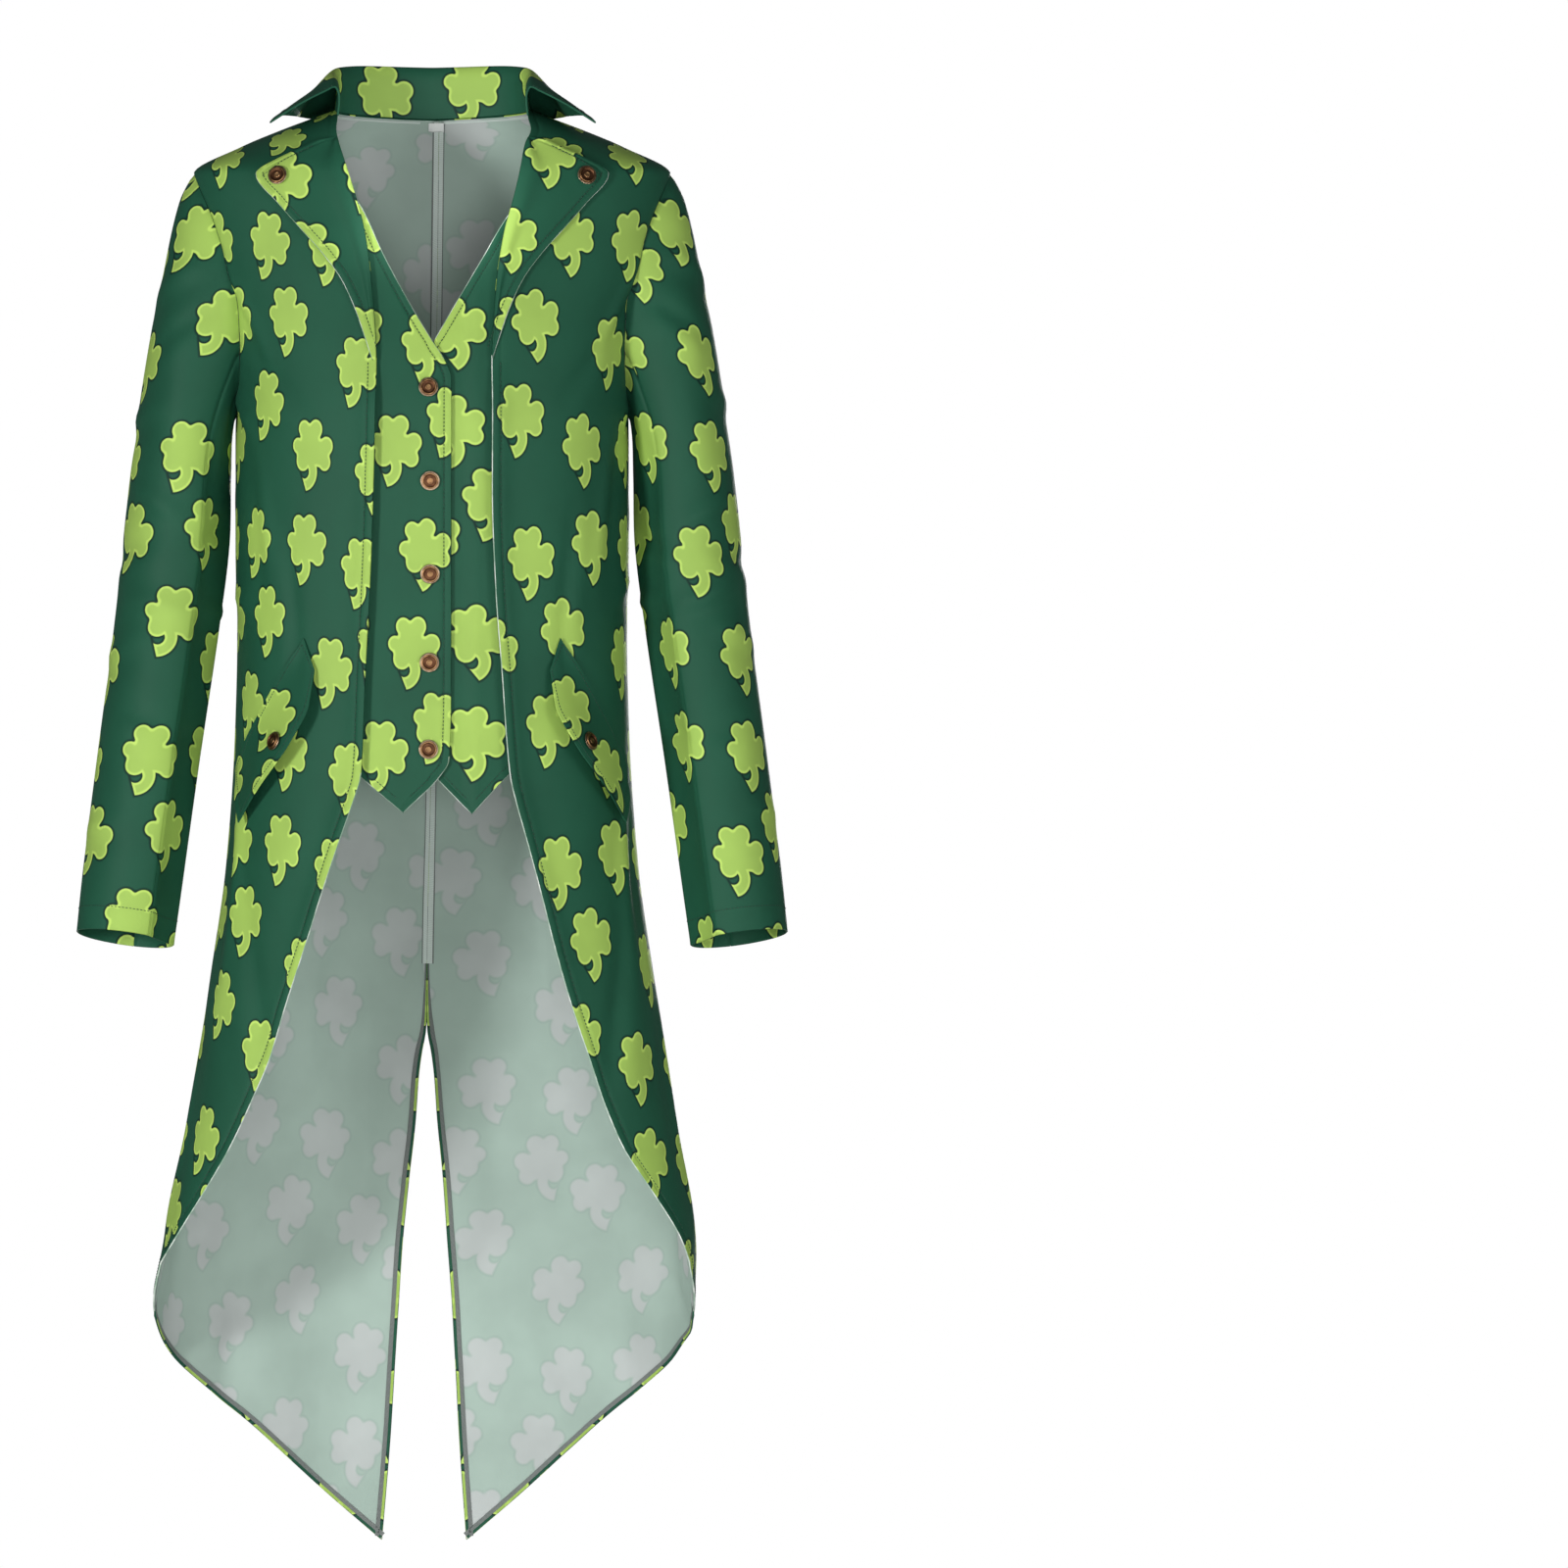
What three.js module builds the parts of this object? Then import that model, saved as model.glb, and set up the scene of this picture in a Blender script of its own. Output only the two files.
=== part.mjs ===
// A printed tailcoat with waistcoat fronts sewn inside it, filled out as it is when worn.
// Millimetres, +Z up. The coat faces -Y, and the wearer's left is +X.
// The origin lies between the wearer's shoulders, at the height of the neck seam.

import * as THREE from 'three';

// Cloth and seams
const CLOTH = 1.6;          // one turned and pressed wall of cloth
const SEAM = 0.3;           // gap between two pieces that are sewn together
const FACET = 0.9;          // room for the flats of one rounded wall behind another
const SQUARENESS = 2.3;     // exponent of a section across the body, where 2 is an ellipse
const RIGHT = -1;           // the wearer's right, -X
const LEFT = 1;             // the wearer's left, +X

// Sections across the worn coat, from the neck down to the tips of the tails:
// half its width, how far the chest and the back stand from y = 0, the y of its sides,
// and how far it sways sideways.
const SECTIONS = [
  { level: 15, half: 84, front: 46, back: 62, sides: 14, sway: 0 },
  { level: 8, half: 103, front: 55, back: 70, sides: 13, sway: 0 },
  { level: -3, half: 132, front: 65, back: 79, sides: 11, sway: 0 },
  { level: -17, half: 165, front: 75, back: 88, sides: 8, sway: 0 },
  { level: -41, half: 206.5, front: 89, back: 99, sides: 4, sway: 0 },
  { level: -86, half: 199, front: 103, back: 109, sides: 2, sway: 0 },
  { level: -131, half: 187.5, front: 115, back: 115, sides: 0, sway: 0 },
  { level: -153, half: 181, front: 120, back: 117, sides: 0, sway: 0 },
  { level: -200, half: 173, front: 129, back: 118, sides: 0, sway: 0 },
  { level: -250, half: 170, front: 134, back: 115, sides: 0, sway: 0 },
  { level: -364, half: 170, front: 127, back: 100, sides: 0, sway: 0 },
  { level: -441, half: 168.5, front: 120, back: 93, sides: 0, sway: 0 },
  { level: -525, half: 170.5, front: 123, back: 103, sides: 0, sway: 0 },
  { level: -636, half: 178, front: 130, back: 125, sides: 0, sway: 0 },
  { level: -737, half: 192, front: 133, back: 142, sides: 0, sway: 0 },
  { level: -864, half: 210, front: 137, back: 156, sides: 0, sway: 0 },
  { level: -950, half: 228, front: 141, back: 164, sides: 0, sway: -1 },
  { level: -1017, half: 234, front: 143, back: 169, sides: 0, sway: -7 },
  { level: -1228, half: 238, front: 146, back: 177, sides: 0, sway: -7 },
];

// The free front edge of each side, as x from the middle of the coat: neck opening,
// roll line of the lapel, straight front, and the cut-away down to the side seam.
const FRONT_EDGES = [
  { level: 15, right: 84, left: 84 },
  { level: 9, right: 82, left: 83 },
  { level: -3, right: 83, left: 85.5 },
  { level: -17, right: 80, left: 80 },
  { level: -41, right: 72.5, left: 75.5 },
  { level: -64, right: 65.5, left: 70 },
  { level: -94, right: 58, left: 62 },
  { level: -140, right: 52, left: 55 },
  { level: -204, right: 48, left: 51.5 },
  { level: -315, right: 50, left: 51 },
  { level: -400, right: 53, left: 54 },
  { level: -468, right: 56.5, left: 59 },
  { level: -560, right: 60.5, left: 66 },
  { level: -583, right: 67, left: 71 },
  { level: -612, right: 77, left: 79 },
  { level: -657, right: 92, left: 91 },
  { level: -707, right: 108, left: 104 },
  { level: -754, right: 124, left: 118 },
  { level: -800, right: 139, left: 134 },
  { level: -876, right: 171, left: 162 },
  { level: -920, right: 194, left: 189 },
  { level: -952, right: 212, left: 208 },
  { level: -980, right: 228, left: 222 },
];

// Angles round the body are in degrees: 0 is centre front, 90 the side and 180 centre back.
const FRONT_END = -1024;    // where the cut-away meets the side seam
const CUTAWAY = 1.4;        // how late the cut-away's edge rounds into it
const SIDE_SEAMS = [
  { level: -250, angle: 90 },
  { level: -364, angle: 95 },
  { level: -441, angle: 98 },
  { level: -737, angle: 97 },
  { level: FRONT_END, angle: 94 },
];

// The centre back seam, which the wearer's stance pulls a little off the middle
const BACK_SEAMS = [
  { level: 9, x: 6 },
  { level: -178, x: 4 },
  { level: -577, x: -1.5 },
  { level: -724, x: -4.5 },
  { level: -856, x: -5 },
  { level: -950, x: -5 },
  { level: -1017, x: 1 },
  { level: -1228, x: 0 },
];

// The open vent under that seam: half the gap between the tails
const VENT_TOP = -724;
const VENT_GAPS = [
  { level: VENT_TOP, gap: 0.15 },
  { level: -790, gap: 4.5 },
  { level: -860, gap: 9.5 },
  { level: -915, gap: 15.5 },
  { level: -990, gap: 21.5 },
  { level: -1070, gap: 26.5 },
  { level: -1134, gap: 30 },
  { level: -1228, gap: 37 },
];

// The hem of a tail, as x from the middle, from the side seam to the pointed tip
const TIP = -1228;
const HEMS = [
  { level: FRONT_END, x: 235.3 },
  { level: -1040, x: 230 },
  { level: -1066, x: 213 },
  { level: -1100, x: 181 },
  { level: -1140, x: 138 },
  { level: -1181, x: 91 },
  { level: TIP, x: 37.3 },
];

// Soft upright flutes in the skirts, which grow from nothing at the top to their full depth
const FLUTES = [
  { angle: 66, spread: 15, depth: 5, top: -560, bottom: -1000 },
  { angle: 118, spread: 13, depth: 6, top: -480, bottom: -1020 },
  { angle: 146, spread: 12, depth: -5, top: -620, bottom: -1080 },
  { angle: 164, spread: 9, depth: 4, top: -760, bottom: -1120 },
];

// Levels of the panels' rows where they lie closer, and the most between them elsewhere
const SHOULDER_ROWS = [-3, -15, -28];
const CUTAWAY_TOP = -583;
const SKIRT = { end: -950, gap: 53 };
const FRONT_END_ROWS = [-1002, -1015];
const TAIL_GAP = 42;

// Neck seam: level at the side of the neck, at the ends of the collar and at centre back
const NECK = { side: 15, ends: 9, back: 9, hollow: 1.3 };

// Armhole: its top and bottom, and how far it reaches before and behind the side of the body
const ARMHOLE = { top: -41, bottom: -250, before: 50, behind: 52 };

// Sections down a sleeve: x and y of its middle, and half its width and depth
const SLEEVES = [
  { level: -41, x: 176.5, y: 2, half: 30, depth: 46 },
  { level: -64, x: 182, y: 1, half: 36, depth: 51 },
  { level: -120, x: 189, y: 0, half: 42, depth: 58 },
  { level: -178, x: 199.5, y: 0, half: 43.5, depth: 62 },
  { level: -263, x: 214, y: 0, half: 41.8, depth: 63.5 },
  { level: -300, x: 217.2, y: -1, half: 43.6, depth: 62.5 },
  { level: -364, x: 221.4, y: -4, half: 46.2, depth: 60 },
  { level: -436, x: 229.8, y: -9, half: 45.6, depth: 57 },
  { level: -551, x: 245.6, y: -21, half: 44.5, depth: 52 },
  { level: -644, x: 257.7, y: -33, half: 43.8, depth: 48 },
  { level: -705, x: 265, y: -42, half: 42.6, depth: 45 },
];
const CUFF = { level: -700.5, outward: 5.7, forward: 6.3 };   // middle of the edge, and its slant
const CAP_REACH = 125;      // how far the armhole's shape is felt down the sleeve
const SLEEVE_LIFT = 0.45;   // how far a sleeve stands off the body at the armhole
const SLEEVE_SEAMS = { front: 120, back: -100 };   // degrees round the sleeve from its outer side
const SLEEVE_STEP = 20;     // degrees between the columns of a sleeve
const SLEEVE_FLAT = 0.7;    // how far the flats between them lie inside the rounded form
const SLEEVE_ROWS = [0, 0.022, 0.055, 0.1, 0.155, 0.22, 0.3, 0.4, 0.52, 0.65, 0.77, 0.89, 1];

// Sections round the collar, from centre back (0) to the front end (1): plan direction that
// the collar turns over in, height of its stand, and how far out and how high its edge lies.
const COLLAR = [
  { at: 0, heading: 180, stand: 45, out: 10, edge: -6 },
  { at: 0.22, heading: 156, stand: 43.5, out: 11.5, edge: -6.5 },
  { at: 0.44, heading: 126, stand: 39, out: 18, edge: -6 },
  { at: 0.62, heading: 101, stand: 32, out: 33, edge: -6.5 },
  { at: 0.82, heading: 80, stand: 28, out: 50, edge: -5 },
  { at: 1, heading: 63, stand: 25, out: 65, edge: -6.5 },
];
const COLLAR_SIDE = 0.62;   // where along the collar the side of the neck lies
const COLLAR_STRIPS = 24;   // strips from one front end round to the other
const COLLAR_ROWS = 11;     // rows from the neck seam over the roll to the fall's edge
const ROLL = 4;             // radius of the collar's fold, on its right side

// A lapel's outline beyond the roll line, as x: slanted top edge, tip, then the long edge
const LAPELS = [
  { level: -12, x: 83.5 },
  { level: -15, x: 94.5 },
  { level: -24, x: 113.5 },
  { level: -32, x: 131 },
  { level: -43.5, x: 150 },
  { level: -70, x: 130 },
  { level: -91, x: 112 },
  { level: -114, x: 92 },
  { level: -136, x: 76.5 },
  { level: -160, x: 65.5 },
  { level: -182, x: 58 },
  { level: -204, x: 51 },
];
const LAPEL_ROLL = { height: 2.4, at: 0.14, spread: 0.12 };   // how proud it stands by its fold
const LAPEL_EDGE = 2.2;     // how proud its free edge stands
const LAPEL_FULL = 20;      // a lapel narrower than this lies flatter

// Waistcoat fronts. Neckline and closing edge of each, as x towards the wearer's own side
// (negative beyond the middle), and the sewn edge under the coat front.
const WAISTCOAT_RIGHT = [
  { level: -40, inner: 92, outer: 92 },
  { level: -64, inner: 66, outer: 99 },
  { level: -114, inner: 41.5, outer: 106 },
  { level: -153, inner: 20.5, outer: 108 },
  { level: -187, inner: 0, outer: 109 },
  { level: -203, inner: -10.2, outer: 110 },
  { level: -219, inner: -16.5, outer: 110 },
  { level: -300, inner: -16.3, outer: 110 },
  { level: -400, inner: -16.3, outer: 110 },
  { level: -500, inner: -16, outer: 112 },
  { level: -520, inner: -15.6, outer: 114 },
  { level: -548, inner: -14, outer: 76 },
  { level: -560, inner: -7, outer: 63.5 },
  { level: -592, inner: 25.4, outer: 25.4 },
];
const WAISTCOAT_LEFT = [
  { level: -44, inner: 92, outer: 92 },
  { level: -84, inner: 62, outer: 102 },
  { level: -114, inner: 44.5, outer: 106 },
  { level: -153, inner: 21, outer: 108 },
  { level: -186, inner: 1.7, outer: 109 },
  { level: -203, inner: -8, outer: 110 },
  { level: -216, inner: -13, outer: 110 },
  { level: -300, inner: -13, outer: 110 },
  { level: -400, inner: -13, outer: 110 },
  { level: -500, inner: -13, outer: 112 },
  { level: -520, inner: -13, outer: 114 },
  { level: -544, inner: -13, outer: 84 },
  { level: -562, inner: 4, outer: 64 },
  { level: -593, inner: 34.7, outer: 34.7 },
];
const WAISTCOAT_DEPTH = 4.8;     // how far the waistcoat's face lies under the coat's face
const UNDERLAP = { depth: 7.4, from: 24, to: 40 };   // where the left front dips under the right
const WAISTCOAT_HELD = { from: 80, to: 100 };        // where it rises to the coat's inner face
const WAISTCOAT_ROWS = 50;                           // the most between two of its rows

// Pocket flaps: the sewn seam and the free edge as seen from the front, and the free edge's lift
const FLAPS = [
  { at: 0, seamX: 110, seamLevel: -443, freeX: 99, freeLevel: -470, lift: 3 },
  { at: 0.3, seamX: 130, seamLevel: -475, freeX: 100, freeLevel: -500, lift: 13 },
  { at: 0.55, seamX: 146, seamLevel: -504, freeX: 112, freeLevel: -531, lift: 18 },
  { at: 0.8, seamX: 160, seamLevel: -532, freeX: 133, freeLevel: -565, lift: 17 },
  { at: 1, seamX: 168, seamLevel: -556, freeX: 159, freeLevel: -602, lift: 8 },
];
const FLAP_RISE = { steady: 0.8, late: 0.1 };    // how the lift grows down from the seam
const FLAP_BUTTON = { at: 0.62, down: 0.72 };

// Half belt across the back waist
const BELT = { level: -411, half: 87, height: 44, clip: 13, cloth: 2.4, slack: 1.2, x: 2 };

// Blank tape inside the neck
const TAPE = { x: 3.5, half: 6.5, top: 7.5, bottom: 0.5, cloth: 1 };

// Buttons are metal shells on a shank: radius and height at each turn of the profile
const BUTTON_TURNS = 12;
const DISHED = [[1.8, 0], [1.8, 1.3], [8.4, 2.2], [7.6, 4], [5.4, 3.2]];
const DOMED = [[1.8, 0], [1.8, 1.3], [8.4, 2.4], [7, 5], [3.8, 6.6]];
const BELT_BUTTON = 0.75;   // the belt's buttons against the others
const WAISTCOAT_BUTTONS = [
  { x: -3.2, level: -227 },
  { x: -1.8, level: -308 },
  { x: -1.8, level: -388 },
  { x: -2.4, level: -463.5 },
  { x: -3.2, level: -538 },
];
const LAPEL_BUTTON = { x: 131, level: -46 };
const BELT_BUTTONS = [{ name: 'right', x: -66 }, { name: 'left', x: 64 }];
const CUFF_BUTTONS = { turn: -70, levels: [-603, -626, -649] };

// Colours of the cloth and metal
const GREEN = { color: 0x1f5a3d, roughness: 0.55, metalness: 0 };
const PALE = { color: 0xe9ece6, roughness: 0.8, metalness: 0 };
const BRONZE = { color: 0xb07a35, roughness: 0.3, metalness: 1 };

// Curves and tables

// A smooth curve through one column of a table, without overshoot between its rows
function through(rows, value, at = 'level') {
  const sorted = [...rows].sort((a, b) => a[at] - b[at]);
  const x = sorted.map((row) => row[at]);
  const y = sorted.map((row) => row[value]);
  const last = x.length - 1;
  const slopes = x.slice(1).map((next, i) => (y[i + 1] - y[i]) / (next - x[i]));
  const tangents = x.map((_, i) => {
    if (i === 0) return slopes[0];
    if (i === last) return slopes[last - 1];
    const [before, after] = [slopes[i - 1], slopes[i]];
    return before * after <= 0 ? 0 : (2 * before * after) / (before + after);
  });
  return (place) => {
    if (place <= x[0]) return y[0];
    if (place >= x[last]) return y[last];
    const i = x.findIndex((end, k) => k > 0 && place <= end) - 1;
    const span = x[i + 1] - x[i];
    const t = (place - x[i]) / span;
    const bend = (1 - t) * tangents[i] - t * tangents[i + 1];
    const turn = slopes[i] * (2 * t - 1);
    return y[i] + slopes[i] * span * t + span * t * (1 - t) * (bend + turn);
  };
}

const smooth = (t) => THREE.MathUtils.smoothstep(t, 0, 1);
const within = (value, { from, to }) => THREE.MathUtils.smoothstep(value, from, to);
const radians = THREE.MathUtils.degToRad;
const degrees = THREE.MathUtils.radToDeg;

// Values from one end to the other in equal steps, both ends included
function steps(from, to, count) {
  return Array.from({ length: count + 1 }, (_, i) => from + ((to - from) * i) / count);
}

// The same values with more between them, so that none are further apart than a gap
function filled(values, gap) {
  return chain(...values.slice(1).map((next, i) => (
    steps(values[i], next, Math.ceil(Math.abs(next - values[i]) / gap))
  )));
}

// Runs of values joined end to end, each shared end kept once
function chain(...runs) {
  return runs.flatMap((run, i) => (i === 0 ? run : run.slice(1)));
}

// The body of the coat

const section = {
  half: through(SECTIONS, 'half'),
  front: through(SECTIONS, 'front'),
  back: through(SECTIONS, 'back'),
  sides: through(SECTIONS, 'sides'),
  sway: through(SECTIONS, 'sway'),
};

// A power that keeps its sign, for the squarish sections
const signedPower = (value, power) => Math.sign(value) * Math.abs(value) ** power;

// How far the flutes push the cloth out at an angle and level
function flute(angle, level) {
  return FLUTES.reduce((sum, { angle: middle, spread, depth, top, bottom }) => {
    const away = (Math.abs(angle) - middle) / spread;
    const grown = smooth((top - level) / (top - bottom));
    return sum + depth * grown * Math.exp(-away * away);
  }, 0);
}

// A point on the coat's outer face, by its angle (positive to the wearer's left) and level
function surface(angle, level) {
  const turn = radians(angle);
  const across = signedPower(Math.sin(turn), 2 / SQUARENESS);
  const ahead = signedPower(Math.cos(turn), 2 / SQUARENESS);
  const sides = section.sides(level);
  const reach = ahead > 0 ? section.front(level) + sides : section.back(level) - sides;
  const push = flute(angle, level);
  return new THREE.Vector3(
    section.sway(level) + section.half(level) * across + push * Math.sin(turn),
    sides - reach * ahead - push * Math.cos(turn),
    level,
  );
}

function surfaceNormal(angle, level) {
  const round = surface(angle + 0.5, level).sub(surface(angle - 0.5, level));
  const top = SECTIONS[0].level;
  const above = surface(angle, Math.min(level + 0.5, top));
  const up = above.sub(surface(angle, Math.min(level + 0.5, top) - 1));
  return round.cross(up).normalize();
}

// The same point moved out by a lift, with its normal
function onBody(angle, level, lift = 0) {
  const normal = surfaceNormal(angle, level);
  return { point: surface(angle, level).addScaledVector(normal, lift), normal };
}

// The angle at a distance x from the middle, on the front or on the back
function angleAt(x, level, onBack = false) {
  const share = Math.min(Math.abs(x) / section.half(level), 1);
  const angle = degrees(Math.asin(share ** (SQUARENESS / 2)));
  return (x < 0 ? -1 : 1) * (onBack ? 180 - angle : angle);
}

// The angle at a distance before (positive) or behind the side of the body
function angleBeside(ahead, level) {
  const sides = section.sides(level);
  const reach = ahead > 0 ? section.front(level) + sides : section.back(level) - sides;
  const angle = degrees(Math.acos(Math.min(Math.abs(ahead) / reach, 1) ** (SQUARENESS / 2)));
  return ahead > 0 ? angle : 180 - angle;
}

// An angle moved along its section by a distance
function moved(angle, level, distance) {
  const speed = surface(angle + 0.5, level).distanceTo(surface(angle - 0.5, level));
  return angle + distance / speed;
}

// Walls

// A closed wall of cloth from a grid of places on its right side. The rows run down the piece
// and, seen from the right side, their places run from left to right.
function wall(grid, cloth = CLOTH) {
  const positions = [];
  const known = new Map();
  const vertex = (p) => {
    const key = [p.x, p.y, p.z].map((value) => Math.round(value * 1000)).join();
    if (!known.has(key)) {
      known.set(key, positions.length / 3);
      positions.push(p.x, p.y, p.z);
    }
    return known.get(key);
  };
  const outer = grid.map((row) => row.map(({ point }) => vertex(point)));
  const inner = grid.map((row) => row.map(({ point, normal }) => (
    vertex(point.clone().addScaledVector(normal, -cloth))
  )));
  const index = [];
  const triangle = (a, b, c) => {
    if (a !== b && b !== c && c !== a) index.push(a, b, c);
  };
  const quad = (a, b, c, d) => {
    triangle(a, b, c);
    triangle(a, c, d);
  };
  const apart = (i, j, k, l) => grid[i][j].point.distanceTo(grid[k][l].point);
  const rows = grid.length - 1;
  const columns = grid[0].length - 1;
  for (let i = 0; i < rows; i += 1) {
    for (let j = 0; j < columns; j += 1) {
      // Each face is split along its shorter diagonal
      const falling = apart(i, j, i + 1, j + 1) <= apart(i + 1, j, i, j + 1);
      const face = [[i, j], [i + 1, j], [i + 1, j + 1], [i, j + 1]];
      const corners = falling ? face : [...face.slice(1), face[0]];
      quad(...corners.map(([k, l]) => outer[k][l]));
      const [a, b, c, d] = corners.map(([k, l]) => inner[k][l]);
      quad(a, d, c, b);
    }
    quad(outer[i][0], inner[i][0], inner[i + 1][0], outer[i + 1][0]);
    quad(outer[i][columns], outer[i + 1][columns], inner[i + 1][columns], inner[i][columns]);
  }
  for (let j = 0; j < columns; j += 1) {
    quad(outer[0][j], outer[0][j + 1], inner[0][j + 1], inner[0][j]);
    quad(outer[rows][j], inner[rows][j], inner[rows][j + 1], outer[rows][j + 1]);
  }
  const geometry = new THREE.BufferGeometry();
  geometry.setAttribute('position', new THREE.Float32BufferAttribute(positions, 3));
  geometry.setIndex(index);
  geometry.computeVertexNormals();
  return geometry;
}

// Normals of a grid of points from their neighbours, for pieces that don't lie on the body
function dressed(points) {
  const at = (i, j) => points[Math.max(0, Math.min(i, points.length - 1))][
    Math.max(0, Math.min(j, points[0].length - 1))];
  return points.map((row, i) => row.map((point, j) => {
    const across = at(i, j + 1).clone().sub(at(i, j - 1));
    const down = at(i + 1, j).clone().sub(at(i - 1, j));
    return { point, normal: down.cross(across).normalize() };
  }));
}

// A panel of cloth on the body, between the angles of its fore and aft edges. They are given
// for the wearer's left, and are mirrored for the right side, and each is held half a seam
// back from its neighbour. Where the edges meet in a point, it lies on the sewn one.
function panel({ side, levels, fore, aft, sewn = 'aft', columns, lift = () => 0, cloth = CLOTH }) {
  return wall(levels.map((level) => {
    let from = moved(fore(level), level, SEAM / 2);
    let to = moved(aft(level), level, -SEAM / 2);
    if (from > to) from = to = sewn === 'aft' ? to : from;
    const row = steps(from, to, columns).map((angle, j) => (
      onBody(side * angle, level, lift(angle, level, j / columns))
    ));
    return side === LEFT ? row : row.reverse();
  }), cloth);
}

// Seams and edges on the body

const sideSeam = through(SIDE_SEAMS, 'angle');
const backSeam = through(BACK_SEAMS, 'x');
const ventGap = through(VENT_GAPS, 'gap');
const hem = through(HEMS, 'x');
const frontEdges = { [RIGHT]: through(FRONT_EDGES, 'right'), [LEFT]: through(FRONT_EDGES, 'left') };
const EDGE_END = FRONT_EDGES.at(-1).level;

// Free front edge of one side, which rounds into the side seam at its lower end
function frontEdge(side, level) {
  if (level >= EDGE_END) return angleAt(frontEdges[side](level), level);
  const from = angleAt(frontEdges[side](EDGE_END), EDGE_END);
  const down = (EDGE_END - level) / (EDGE_END - FRONT_END);
  return from + (sideSeam(FRONT_END) - from) * down ** CUTAWAY;
}

// Neck seam level behind the side of the neck, and the angle that it has at a level
const neckLevel = (angle) => (
  NECK.side - (NECK.side - NECK.back) * ((angle - 90) / 90) ** NECK.hollow
);
const neckAngle = (level) => (
  90 + 90 * ((NECK.side - level) / (NECK.side - NECK.back)) ** (1 / NECK.hollow)
);

// A place on the armhole by its turn: 0 at the top, 90 at the front, 180 at the bottom
function armhole(turn, grow = 0) {
  const middle = (ARMHOLE.top + ARMHOLE.bottom) / 2;
  const half = (ARMHOLE.top - ARMHOLE.bottom) / 2 + grow;
  const level = middle + half * Math.cos(radians(turn));
  const sine = Math.sin(radians(turn));
  const ahead = sine * (grow + (sine > 0 ? ARMHOLE.before : ARMHOLE.behind));
  return { angle: Math.abs(ahead) < 0.01 ? 90 : angleBeside(ahead, level), level };
}

// The armhole's front (1) or back (-1) edge at a level, cut a seam wider than the sleeve
function armholeEdge(which, level) {
  const middle = (ARMHOLE.top + ARMHOLE.bottom) / 2;
  const half = (ARMHOLE.top - ARMHOLE.bottom) / 2 + SEAM;
  const turn = degrees(Math.acos(THREE.MathUtils.clamp((level - middle) / half, -1, 1)));
  return armhole(which * turn, SEAM).angle;
}

// The outer edge of a front (1) or back (-1) panel: shoulder seam, armhole, then side seam
function sewnEdge(which, level) {
  if (level > ARMHOLE.top + SEAM) return 90;
  if (level > ARMHOLE.bottom - SEAM) return armholeEdge(which, level);
  return sideSeam(level);
}

const ARMHOLE_LEVELS = steps(0, 180, 180 / SLEEVE_STEP).map((turn) => armhole(turn, SEAM).level);
const BODY_LEVELS = chain(
  steps(NECK.side, NECK.ends, 4),
  [NECK.ends, ...SHOULDER_ROWS, ARMHOLE_LEVELS[0]],
  ARMHOLE_LEVELS,
  steps(ARMHOLE_LEVELS.at(-1), BELT.level + BELT.height / 2, 3),
  steps(BELT.level + BELT.height / 2, BELT.level - BELT.height / 2, 1),
  filled([BELT.level - BELT.height / 2, CUTAWAY_TOP, SKIRT.end], SKIRT.gap),
  [SKIRT.end, EDGE_END, ...FRONT_END_ROWS, FRONT_END],
);

// Cloth pieces

function front(side) {
  return panel({
    side,
    levels: BODY_LEVELS,
    fore: (level) => frontEdge(side, level),
    aft: (level) => sewnEdge(1, level),
    columns: 9,
  });
}

// Centre back seam and vent edge of one side
function backEdge(side, level) {
  const open = level < VENT_TOP ? ventGap(level) - SEAM / 2 : 0;
  return 180 - angleAt(open + side * backSeam(level), level);
}

function back(side) {
  const aft = (level) => (level > NECK.back ? neckAngle(level) : backEdge(side, level));
  const tail = (level) => Math.max(180 - angleAt(hem(level), level), sideSeam(FRONT_END));
  const fore = (level) => (level > FRONT_END ? sewnEdge(-1, level) : tail(level));
  return panel({
    side,
    levels: chain(BODY_LEVELS, filled(HEMS.map(({ level }) => level), TAIL_GAP)),
    fore,
    aft,
    sewn: 'fore',
    columns: 9,
  });
}

// A lapel lies on the coat front: proud beside its fold and again at its free edge
function lapel(side) {
  const outline = through(LAPELS, 'x');
  return panel({
    side,
    levels: LAPELS.map(({ level }) => level),
    fore: (level) => frontEdge(side, level),
    aft: (level) => Math.max(angleAt(outline(level), level), frontEdge(side, level)),
    sewn: 'fore',
    columns: 7,
    lift: (angle, level, share) => {
      const seat = CLOTH + SEAM;
      const width = smooth((outline(level) - frontEdges[side](level)) / LAPEL_FULL);
      const roll = Math.exp(-(((share - LAPEL_ROLL.at) / LAPEL_ROLL.spread) ** 2));
      const rise = LAPEL_EDGE * smooth((share - LAPEL_ROLL.at) / (1 - LAPEL_ROLL.at));
      return seat + width * (LAPEL_ROLL.height * roll + rise);
    },
  });
}

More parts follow.
